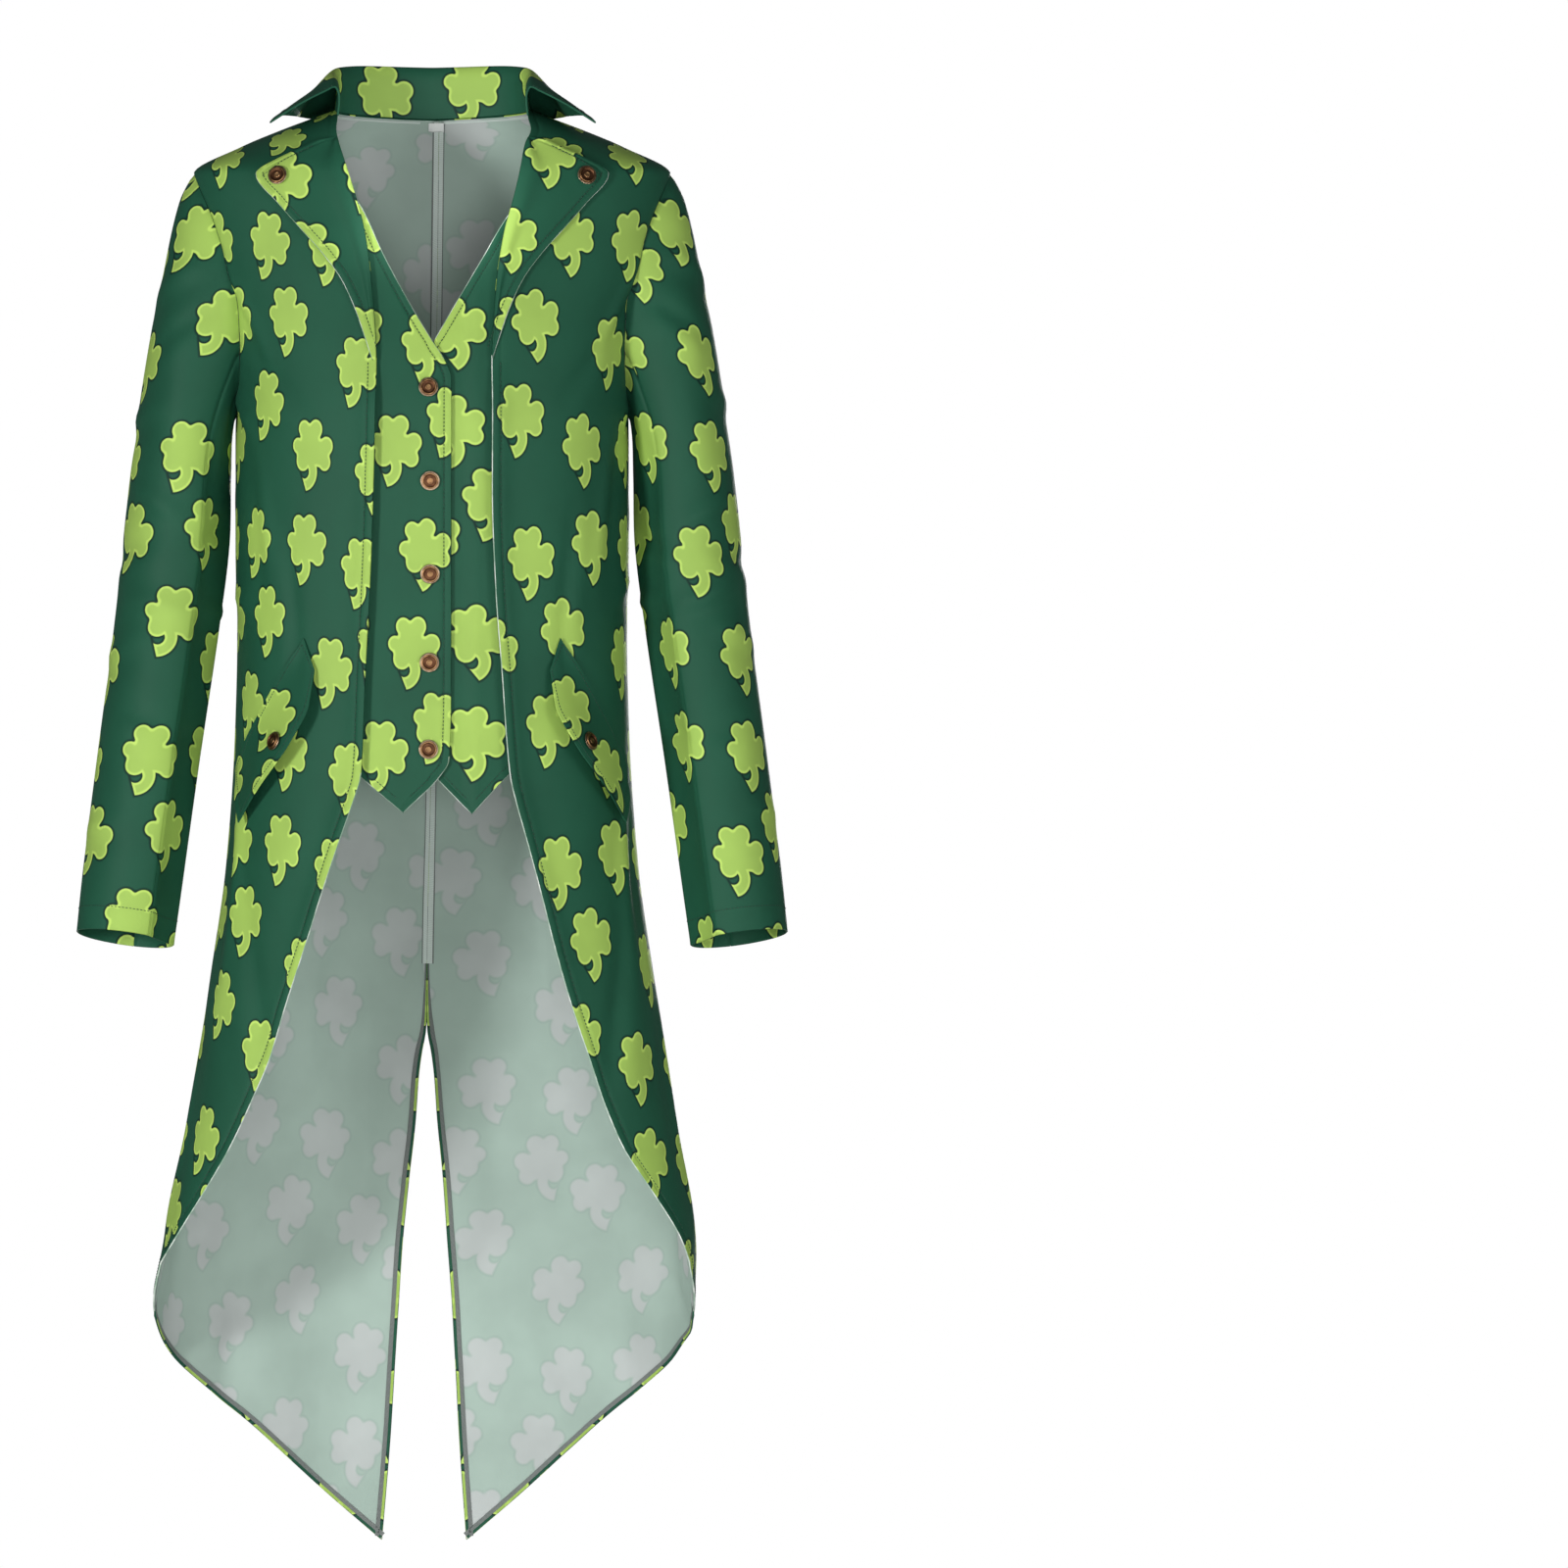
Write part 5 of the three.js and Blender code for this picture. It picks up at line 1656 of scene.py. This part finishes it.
@dataclass
class Sleeves:
    """The two-piece sleeves, set into the armholes and open at the cuffs."""

    room: Workroom
    cuff: float = -700.5
    outward: float = 5.7
    forward: float = 6.3
    cap_reach: float = 125
    lift: float = 0.45
    front_seam: float = 120
    back_seam: float = -100
    crease_scale: float = 0.8
    crease_depth: float = 1.9
    groove: float = 1.1
    groove_spread: float = 1.8
    flattened: float = 1.35
    dip: float = 1.5
    dip_spread: float = 2.6
    hem: float = 20
    rows: int = 110
    turned_up: int = 4
    trim: float = 0.2

    def __post_init__(self) -> None:
        """Reads the sections, and measures the cloth round and down the sleeve."""
        self.x, self.y, self.half, self.depth = SLEEVES.curves()
        whole = Chart.of(self.form, np.linspace(-120, 280, 201), spaced((-42, -715, 8)), self.cuff)
        middle, _ = whole.read(0 * whole.levels, whole.levels)
        across = whole.round - middle[:, None]
        under = whole.turns >= self.front_seam
        row = np.argmin(np.abs(whole.levels - self.room.body.armhole.bottom + 6))
        across[:row, under] = across[row, under]
        self.chart = Chart(whole.turns, whole.levels, across, whole.rise)

    def tube(self, turn: Array, level: Array) -> Array:
        """Places on the plain tube of the left sleeve."""
        x = self.x(level) + self.half(level) * np.cos(turn)
        return np.stack([x, self.y(level) - self.depth(level) * np.sin(turn), level + 0 * x], -1)

    def start(self, turn: Array) -> tuple[Array, Array]:
        """The armhole's angle and level at a turn round it."""
        body, hole = self.room.body, self.room.body.armhole
        level = (hole.top + hole.bottom) / 2 + (hole.top - hole.bottom) / 2 * np.cos(turn)
        sine = np.sin(turn)
        ahead = sine * np.where(sine > 0, hole.before, hole.behind)
        return body.angle_beside(ahead, level), level

    def form(self, turn: Array, level: Array, folds: Array = 0.0,
             side: Side = Side.LEFT) -> Array:
        """Places on a sleeve, both sides' as on the left one.

        Args:
            turn: degrees round it, 0 outside and 90 in front.
            level: heights, held below the armhole.
            folds: how far creases push the cloth out.
            side: the side of the body whose folds the armhole has.

        Returns:
            The places.
        """
        radians = np.radians(turn)
        angle, top = self.start(radians)
        level = np.minimum(level, top)
        out = np.stack([np.cos(radians), -np.sin(radians), 0 * radians], -1)
        for seam in (self.front_seam, self.back_seam):
            away = ((turn - seam + 180) % 360 - 180) * self.crease_scale
            folds = folds - self.groove * np.exp(-(away / self.groove_spread) ** 2)
        plain = self.tube(radians, level)
        seam = math.radians(self.front_seam)
        share = np.clip((radians - seam) / (math.pi - seam), 0, 1)[..., None]
        fold, inner = self.tube(seam + 0 * radians, level), self.tube(math.pi + 0 * radians, level)
        chord = fold * (1 - share) + inner * share
        sunk = self.flattened * smooth((top - level - 30) / 90)[..., None]
        sunk = np.where((0 < share) & (share < 1), sunk, 0)
        plain = plain + (chord - plain) * sunk + out * folds[..., None]
        seat, normal = (found * side.flip
                        for found in self.room.body.on(side.value * angle, top, self.lift))
        held = np.clip(1 - (top - level) / self.cap_reach, 0, 1)[..., None] ** 2
        dip = self.dip * np.exp(-((top - level) / self.dip_spread) ** 2)
        return plain + (seat - self.tube(radians, top)) * held - normal * dip[..., None]

    def point(self, side: Side, turn: Array, down: Array) -> Array:
        """Places on a sleeve, by turn and by how far down its strand they lie, from 0 to 1."""
        radians = np.radians(turn)
        _, top = self.start(radians)
        slant = self.outward * np.cos(radians) + self.forward * np.sin(radians)
        level = top + (self.cuff + slant - top) * down
        folds = sum(crease.push((turn + 180) % 360 - 180, level, self.crease_scale)
                    for crease in SLEEVE_CREASES[side]) * self.crease_depth
        fade = smooth(down / 0.08) * smooth((1 - down) / 0.06)
        return self.form(turn, level, folds * fade, side) * side.flip

    def grid(self, side: Side, first: float, last: float) -> Grid:
        """One piece of a sleeve, between two turns."""
        start, end = first + self.trim, last - self.trim
        turns = spaced((start, start + 7, 1.2), (start + 7, end - 7, 3.6), (end - 7, end, 1.2))
        downs = np.concatenate([np.linspace(0, 0.06, 9), np.linspace(0.06, 1, self.rows)[1:]])
        turn, down = np.meshgrid(turns, downs)
        points = self.point(side, turn, down)
        around = self.point(side, turn + 0.4, down) - self.point(side, turn - 0.4, down)
        ahead = self.point(side, turn, down + 0.002) - self.point(side, turn, down - 0.002)
        normals = unit(np.cross(around, ahead)) * side.value
        round_, rise = self.chart.read(turn, points[..., 2])
        flat = np.stack([-side.value * round_, rise], -1)
        grid = Grid(points, normals, flat)
        return grid.mirrored() if side is Side.LEFT else grid

    def make(self) -> None:
        """Makes the sleeves' four pieces and their hem stitching."""
        lines = []
        for side in Side:
            word = side.word
            spans = {"upper": (self.back_seam, self.front_seam),
                     "under": (self.front_seam, 360 + self.back_seam)}
            for which, (first, last) in spans.items():
                grid = self.grid(side, first, last)
                inner = np.full(np.array(grid.points.shape[:2]) - 1, BACK)
                inner[-self.turned_up:] = FACE
                rests_on = [f"front_{word}", f"back_{word}"]
                self.room.cut(f"sleeve_{which}_{word}", grid, rests_on, inner=inner)
            turn = np.linspace(0, 360, 181)
            length = self.start(np.radians(turn))[1] - self.cuff
            down = 1 - self.hem / length
            points = self.point(side, turn, down)
            around = self.point(side, turn + 0.5, down) - self.point(side, turn - 0.5, down)
            fall = self.point(side, turn, down + 0.003) - points
            lines.append((points, unit(np.cross(around, fall)) * side.value))
        self.room.sew("stitches_cuffs", lines)


@dataclass
class Collar:
    """The collar in one piece, folded into its stand and fall."""

    room: Workroom
    table: Table = Table(("at", "heading", "stand", "out", "edge"), (
        (0, 180, 45, 10, -6), (0.22, 156, 43.5, 11.5, -6.5), (0.44, 126, 39, 18, -6),
        (0.62, 101, 32, 33, -4.5), (0.82, 80, 28, 50, -2), (1, 63, 25, 65, -6.5)))
    neck_side: float = 0.62
    roll: float = 4
    strips: int = 150
    topstitch: float = 5

    def seam(self, side: Side, at: float) -> Array:
        """The neck seam at a place from centre back (0) to the front end (1)."""
        body = self.room.body
        if at <= self.neck_side:
            angle = 180 - 90 * at / self.neck_side
            return body.point(np.array(side.value * angle), body.neck.level(angle), creased=False)
        share = (at - self.neck_side) / (1 - self.neck_side)
        level = body.neck.side - (body.neck.side - body.neck.ends) * share
        angle = side.value * body.angle_at(body.edges[side](level), level)
        return body.point(angle, np.array(level), creased=False)

    def strip(self, side: Side, at: float) -> Array:
        """One section: up the inside of the stand, over the roll and down the fall."""
        heading, stand, out, edge = (float(curve(at)) for curve in self.table.curves())
        seam = self.seam(side, at)
        turn = math.radians(heading)
        outward = np.array([side.value * math.sin(turn), -math.cos(turn), 0])
        roll = self.roll
        profile = np.array([
            (-CLOTH, SEAM),
            (-CLOTH - 1.2, stand * 0.45),
            (-CLOTH - 0.8, stand - roll - 2),
            (roll - CLOTH - 0.8, stand),
            (2 * roll - CLOTH + 0.1 * out, stand - roll),
            (roll + 0.52 * out, edge + (stand - edge) * 0.5),
            (out, edge),
        ])
        curve = rounded(profile, 6)
        return seam + curve[:, :1] * outward + curve[:, 1:] * np.array([0, 0, 1])

    def make(self) -> None:
        """Makes the collar and the stitching along its free edges."""
        places = np.linspace(1, -1, self.strips + 1)
        strips = [self.strip(Side.LEFT if at >= 0 else Side.RIGHT, abs(at)) for at in places]
        points = np.stack(strips, 1)
        middle = len(places) // 2
        seam = arcs(points[:1], 1)[0]
        across = -(seam - seam[middle])[None] + 0 * points[..., 0]
        flat = np.stack([across, arcs(points, 0)], -1)
        grid = Grid(points, normals_of(points), flat)
        self.room.cut("collar", grid, ["back_right", "back_left"], lined=True, thickness=CLOTH)
        rows, columns = grid.points.shape[:2]
        step = float(arcs(points, 0)[-1, middle]) / (rows - 1)
        row = rows - 1 - self.topstitch / step
        side_step = float(seam[-1]) / (columns - 1)
        along = np.linspace(3, columns - 4, 300)
        down = np.linspace(rows * 0.52, row, 40)
        left = self.topstitch / side_step + 0 * down
        lines = [grid.line(np.full(300, row), along), grid.line(down, left),
                 grid.line(down, columns - 1 - left)]
        self.room.sew("stitches_collar", lines)


def rounded(corners: Array, steps: int) -> Array:
    """A smooth line through corners, with a number of steps between each two."""
    ends = np.concatenate([[2 * corners[0] - corners[1]], corners, [2 * corners[-1] - corners[-2]]])
    gaps = np.maximum(np.linalg.norm(np.diff(ends, axis=0), axis=1) ** 0.5, 1e-4)[:, None]
    line = [corners[0]]
    for k in range(len(corners) - 1):
        p0, p1, p2, p3 = ends[k:k + 4]
        d0, d1, d2 = gaps[k:k + 3]
        start = ((p1 - p0) / d0 - (p2 - p0) / (d0 + d1) + (p2 - p1) / d1) * d1
        end = ((p2 - p1) / d1 - (p3 - p1) / (d1 + d2) + (p3 - p2) / d2) * d1
        t = np.linspace(0, 1, steps + 1)[1:, None]
        cubic = (2 * p1 - 2 * p2 + start + end) * t ** 3
        line.extend(cubic + (3 * p2 - 3 * p1 - 2 * start - end) * t ** 2 + start * t + p1)
    return np.array(line)


FLAPS = Table(("at", "seam_x", "seam_level", "free_x", "free_level", "lift"), (
    (0, 110, -443, 99, -470, 3), (0.3, 130, -475, 100, -500, 13), (0.55, 146, -504, 112, -531, 18),
    (0.8, 160, -532, 133, -565, 17), (1, 168, -556, 159, -602, 8),
))


@dataclass
class Flaps:
    """The slanted pocket flaps, sewn along one edge and standing off at the other."""

    room: Workroom
    rows: int = 19
    columns: int = 49
    rise: Offset = (0.8, 0.1)
    topstitch: float = 4.5
    slant: float = 63

    def point(self, at: Array, down: Array) -> Array:
        """Places on the left flap, by how far along and down from its seam they lie."""
        body = self.room.body
        seam_x, seam_level, free_x, free_level, lift = (curve(at) for curve in FLAPS.curves())
        level = seam_level + (free_level - seam_level) * down
        x = seam_x + (free_x - seam_x) * down
        raised = lift * smooth((self.rise[0] + self.rise[1] * down) * down)
        seat = CLOTH + SEAM + FACET / 2
        return body.on(body.angle_at(x, level), level, seat + raised)[0]

    def grid(self, side: Side) -> Grid:
        """One flap."""
        at, down = np.meshgrid(np.linspace(0, 1, self.columns), np.linspace(0, 1, self.rows))
        points = self.point(at, down) * side.flip
        along, under = arcs(points, 1)[self.rows // 2][None] + 0 * at, arcs(points, 0)
        slant = math.radians(self.slant)
        x = along * math.cos(slant) - under * math.sin(slant)
        flat = np.stack([side.value * x, -along * math.sin(slant) - under * math.cos(slant)], -1)
        grid = Grid(points, np.zeros_like(points), flat)
        grid = grid if side is Side.LEFT else grid.mirrored()
        grid.normals = normals_of(grid.points)
        return grid

    def make(self) -> None:
        """Makes both flaps and their stitching."""
        lines = []
        for side in Side:
            grid = self.grid(side)
            self.room.cut(f"flap_{side.word}", grid, [f"front_{side.word}"], lined=True)
            rows, columns = self.rows, self.columns
            middle = grid.points[:, columns // 2]
            deep = float(np.linalg.norm(middle[-1] - middle[0])) / (rows - 1)
            long = float(arcs(grid.points, 1)[rows // 2, -1]) / (columns - 1)
            low = rows - 1 - self.topstitch / deep
            ends = self.topstitch / long
            along = np.linspace(ends, columns - 1 - ends, 80)
            down = np.linspace(1.0, low, 20)
            lines += [grid.line(np.full(80, low), along), grid.line(down, np.full(20, ends)),
                      grid.line(down, np.full(20, columns - 1 - ends)),
                      grid.line(np.full(80, 1.2), along)]
        self.room.sew("stitches_flaps", lines, 2.8)


@dataclass
class BackBelt:
    """The half belt across the back waist, with clipped corners and a row of stitching."""

    room: Workroom
    level: float = -411
    half: float = 87
    height: float = 44
    clip: float = 13
    cloth: float = 2.4
    slack: float = 1.2
    middle: float = 2
    columns: int = 70
    topstitch: float = 4.6

    def lift(self, x: Array) -> Array:
        """How far the belt's face stands off the back."""
        bow = self.slack * np.cos(math.pi * x / 2 / self.half)
        return self.cloth + SEAM + FACET / 2 + bow

    def tall(self, x: Array, inset: float = 0) -> Array:
        """Half the belt's height at a distance from its middle."""
        end = np.clip((self.half - inset - np.abs(x)) / self.clip, 0, 1)
        return self.height / 2 - inset - self.clip * (1 - end)

    def make(self) -> None:
        """Makes the belt and its stitching."""
        body = self.room.body
        edge = self.half - self.clip
        x = spaced((-self.half, -edge, 1.5), (-edge, edge, 3), (edge, self.half, 1.5))[::-1]
        up = np.linspace(1, -1, 15)[:, None]
        level = self.level + self.tall(x)[None] * up
        angle = body.angle_at(x[None] + self.middle + 0 * up, level, on_back=True)
        points, normals = body.on(angle, level, self.lift(x)[None] + 0 * up)
        flat = np.stack([-(x[None] + 0 * up), level - self.level], -1)
        self.room.cut("back_belt", Grid(points, normals, flat), ["back_right", "back_left"],
                      lined=True, thickness=self.cloth - 0.2)
        reach = self.half - self.topstitch
        run = np.linspace(-reach, reach, 120)
        tall = self.tall(run, self.topstitch)
        x = np.concatenate([run, run[::-1], run[:1]])
        level = self.level + np.concatenate([tall, -tall[::-1], tall[:1]])
        angle = body.angle_at(x + self.middle, level, on_back=True)
        self.room.sew("stitches_belt", [body.on(angle, level, self.lift(x) + 0.05)])


@dataclass(frozen=True)
class ButtonShape:
    """The turned profile of a button: radius, height and slot of each band.

    The slots are 0 for the cap, 1 for its recess, 2 for its middle and 3 for the ring.
    """

    rows: Rows
    scale: float = 1.0

    def profile(self) -> list[tuple]:
        """The profile at its real size."""
        scale = self.scale
        return [(radius * scale, height * scale, slot) for radius, height, slot in self.rows]


DISHED = ButtonShape((
    (0, 0, 0), (1.8, 0, 3), (1.8, 1.2, 3), (3.0, 1.45, 3), (7.8, 1.6, 3), (8.3, 1.8, 3),
    (8.4, 2.1, 3), (8.2, 2.45, 3), (7.7, 2.6, 3), (7.2, 2.55, 3), (7.1, 2.5, 1), (7.1, 3.1, 0),
    (6.95, 3.6, 0), (6.6, 3.92, 0), (6.2, 4.0, 0), (5.8, 3.92, 0), (5.4, 3.6, 1), (5.1, 3.3, 1),
    (4.6, 3.16, 1), (3.4, 3.1, 1), (2.7, 3.14, 1), (2.5, 3.4, 0), (2.2, 3.55, 0), (1.8, 3.5, 0),
    (1.5, 3.3, 2), (0.9, 3.36, 2), (0, 3.38, 2)))
DOMED = ButtonShape((
    (0, 0, 0), (1.8, 0, 0), (1.8, 1.2, 0), (3.0, 1.5, 0), (7.9, 1.9, 0), (8.3, 2.2, 0),
    (8.4, 2.5, 3), (8.3, 2.85, 3), (7.9, 3.05, 3), (7.5, 3.0, 1), (7.3, 3.25, 1), (7.0, 4.0, 1),
    (6.4, 4.8, 1), (5.4, 5.6, 1), (4.0, 6.2, 1), (2.2, 6.52, 2), (0, 6.6, 2)))


@dataclass
class Buttons:
    """Every button, each a metal cap on a ring."""

    room: Workroom
    sleeves: Sleeves
    flaps: Flaps
    belt: BackBelt
    waistcoat: tuple[Offset, ...] = (
        (-3.2, -227), (-1.8, -308), (-1.8, -388), (-2.4, -463.5), (-3.2, -538))
    waistcoat_depth: float = 4.8
    lapel: Offset = (131, -46)
    lapel_lift: float = CLOTH + SEAM + 3.2
    flap: Offset = (0.62, 0.72)
    cuff_turn: float = -70
    cuff_levels: tuple[float, ...] = (-603, -626, -649)
    cuff_sink: float = 0.45
    belt_scale: float = 0.75
    steps: int = 40

    def add(self, name: str, shape: ButtonShape, place: Array, normal: Array) -> None:
        """Makes one button on a place."""
        finishes = self.room.finishes
        shell = Shell(f"{name}_metal")
        shell.turned(shape.profile(), place + normal * SEAM, normal, self.steps)
        cap = finishes.copper if name.startswith("button_belt") else finishes.bronze
        piece = shell.build([cap, finishes.brown, finishes.gold, finishes.nickel])
        self.room.fit(piece, "antique_bronze", name)

    def spot(self, x: float, level: float, lift: float, on_back: bool = False) -> tuple:
        """A place at a lift over the body, and its normal."""
        body = self.room.body
        return body.on(body.angle_at(x, level, on_back), np.array(float(level)), lift)

    def on_sheet(self, place: Callable[[float, float], Array]) -> tuple[Array, Array]:
        """The middle and normal of a patch of a free-standing piece."""
        middle, across, down = place(0, 0), place(0.02, 0), place(0, 0.02)
        return middle, unit(np.cross(down - middle, across - middle))

    def make(self) -> None:
        """Makes the buttons of the waistcoat, lapels, flaps, cuffs and belt."""
        for number, (x, level) in enumerate(self.waistcoat, 1):
            spot = self.spot(x, level, -self.waistcoat_depth)
            self.add(f"button_waistcoat_{number}", DISHED, *spot)
        for side in Side:
            flip = side.flip
            x, level = self.lapel
            spot = self.spot(side.value * x, level, self.lapel_lift)
            self.add(f"button_lapel_{side.word}", DISHED, *spot)
            place, normal = self.on_sheet(
                lambda a, b: self.flaps.point(self.flap[0] + a, self.flap[1] + b))
            self.add(f"button_flap_{side.word}", DISHED, place * flip, normal * flip)
            top = float(self.sleeves.start(math.radians(self.cuff_turn))[1])
            for number, cuff_level in enumerate(self.cuff_levels, 1):
                down = (top - cuff_level) / (top - self.sleeves.cuff)

                def cuff(a: float, b: float, d: float = down, s: Side = side) -> Array:
                    """Places on the sleeve about its button."""
                    turn = np.array(self.cuff_turn - 50 * a)
                    return self.sleeves.point(s, turn, np.array(d + b)) * s.flip

                place, normal = self.on_sheet(cuff)
                place = place - normal * self.cuff_sink
                self.add(f"button_cuff_{side.word}_{number}", DOMED, place * flip, normal * flip)
        small = ButtonShape(DISHED.rows, self.belt_scale)
        for word, x in (("right", -66.0), ("left", 64.0)):
            lift = self.belt.lift(np.array(x)) + 0.1
            spot = self.spot(x + self.belt.middle, self.belt.level, lift, on_back=True)
            self.add(f"button_belt_{word}", small, *spot)


@dataclass
class NeckTape:
    """The small bare tape sewn inside the neck."""

    room: Workroom
    middle: float = 3.5
    half: float = 6.5
    top: float = 7.5
    bottom: float = 0.5

    def make(self) -> None:
        """Makes the tape, folded at its lower end with both its ends in the seam."""
        body = self.room.body
        x = np.linspace(self.middle - self.half, self.middle + self.half, 15)
        down = np.linspace(self.top, self.bottom, 9)[:, None]
        level = np.concatenate([down, down[::-1] + 0.2])
        angle = body.angle_at(x[None] + 0 * level, level, on_back=True)
        sag = 0.35 * np.sin((x - self.middle) / self.half * 4)[None]
        behind = (np.arange(len(level)) >= len(down))[:, None]
        depth = -CLOTH - SEAM - FACET - np.where(behind, 0.1, 0.9)
        points, _ = body.on(angle, level + 0 * angle, depth + sag * smooth((self.top - level) / 5))
        flat = np.stack([x[None] + 0 * level, -arcs(points, 0)], -1)
        grid = Grid(points, normals_of(points), flat)
        shell = Shell("neck_label_tape")
        shell.cloth(grid, RIBBON, FACE)
        piece = shell.build([self.room.finishes.tape] * 3)
        self.room.fit(piece, "label_tape", "neck_label")
        grid.size()


@dataclass
class Studio:
    """A pale floor, soft light and the camera at the photograph's angle."""

    distance: float = 16.0
    lens: float = 425.0
    frame_pixels: float = 1600
    coat_column: float = 441
    neck_row: float = 130
    pixel: float = 0.8475
    floor: float = -1500
    floor_radius: float = 3000
    floor_thickness: float = 20
    glow: float = 0.15
    glow_colour: tuple = (0.97, 0.99, 1.0, 1)

    def make(self) -> None:
        """Makes the camera, the lights, the world and the floor."""
        self.camera()
        self.lights()
        self.world()
        self.ground()

    def camera(self) -> None:
        """Looks straight at the coat, which stands left of the frame's middle."""
        data = bpy.data.cameras.new("camera")
        data.lens = self.lens
        half = self.frame_pixels / 2
        data.shift_x = (half - self.coat_column) / self.frame_pixels
        camera = linked("camera", data)
        camera.location = (0, -self.distance, (self.neck_row - half) * self.pixel * MM)
        camera.rotation_euler = (math.radians(90), 0, 0)
        bpy.context.scene.camera = camera

    def light(self, name: str, place: tuple, size: float, power: float,
              aims_at: tuple = (0, 0, -0.6)) -> None:
        """Adds a square lamp that faces the coat's middle, or another place."""
        data = bpy.data.lights.new(name, "AREA")
        data.size = size
        data.energy = power
        lamp = linked(name, data)
        lamp.location = place
        aim = np.array(aims_at) - np.array(place)
        flat = math.hypot(aim[0], aim[1])
        heading = math.atan2(aim[1], aim[0]) - math.pi / 2
        lamp.rotation_euler = (math.atan2(flat, -aim[2]), 0, heading)

    def lights(self) -> None:
        """Lights the front broadly, and the back a little less."""
        self.light("key", (-3.0, -4.1, -0.35), 0.8, 150)
        self.light("front", (0.3, -5.0, -0.9), 1.2, 74)
        self.light("fill", (2.9, -3.9, -0.6), 1.6, 58)
        self.light("back", (0.7, 4.7, -0.2), 1.6, 150)
        self.light("neck", (0, -0.13, -0.05), 0.12, 0.1, (0, 1, -0.16))

    def world(self) -> None:
        """White behind the coat, and a gentler light all round it."""
        world = bpy.data.worlds.new("studio")
        world.use_nodes = True
        tree = world.node_tree
        tree.nodes.clear()
        output, mix, seen, glow, plain = (tree.nodes.new(f"ShaderNode{kind}") for kind in (
            "OutputWorld", "MixShader", "LightPath", "Background", "Background"))
        glow.inputs["Strength"].default_value = self.glow
        glow.inputs["Color"].default_value = self.glow_colour
        plain.inputs["Color"].default_value = (1, 1, 1, 1)
        sources = seen.outputs["Is Camera Ray"], glow.outputs[0], plain.outputs[0]
        for source, socket in zip(sources, mix.inputs):
            tree.links.new(source, socket)
        tree.links.new(mix.outputs[0], output.inputs[0])
        bpy.context.scene.world = world

    def ground(self) -> None:
        """Lays a pale round floor under the coat."""
        shell = Shell("floor")
        wide, low = self.floor_radius, -self.floor_thickness
        shell.turned(((0, low, 0), (wide, low, 0), (wide, 0, 0), (0, 0, 0)),
                     np.array([0, 0, self.floor]), np.array([0, 0, 1.0]), 96)
        nodes = Nodes("pale_floor")
        place = nodes.add("ShaderNodeTexCoord", {}, {}, "Object")
        tone = nodes.mix(nodes.noise(place, 3), srgb(232, 232, 230), srgb(240, 240, 238))
        floor = shell.build([nodes.finish({"Base Color": tone, "Roughness": 0.8})])


def main() -> None:
    """Builds the coat piece by piece, then the studio."""
    logging.basicConfig(level=logging.INFO, format="%(name)s: %(message)s")
    view = bpy.context.scene.view_settings
    view.view_transform = "Standard"
    Studio().make()
    room = Workroom(Body(), Finishes())
    Backs(room).make()
    Fronts(room).make()
    Lapels(room).make()
    Waistcoat(room).make()
    sleeves = Sleeves(room)
    sleeves.make()
    Collar(room).make()
    flaps = Flaps(room)
    flaps.make()
    belt = BackBelt(room)
    belt.make()
    Buttons(room, sleeves, flaps, belt).make()
    NeckTape(room).make()


if __name__ == "__main__":
    main()
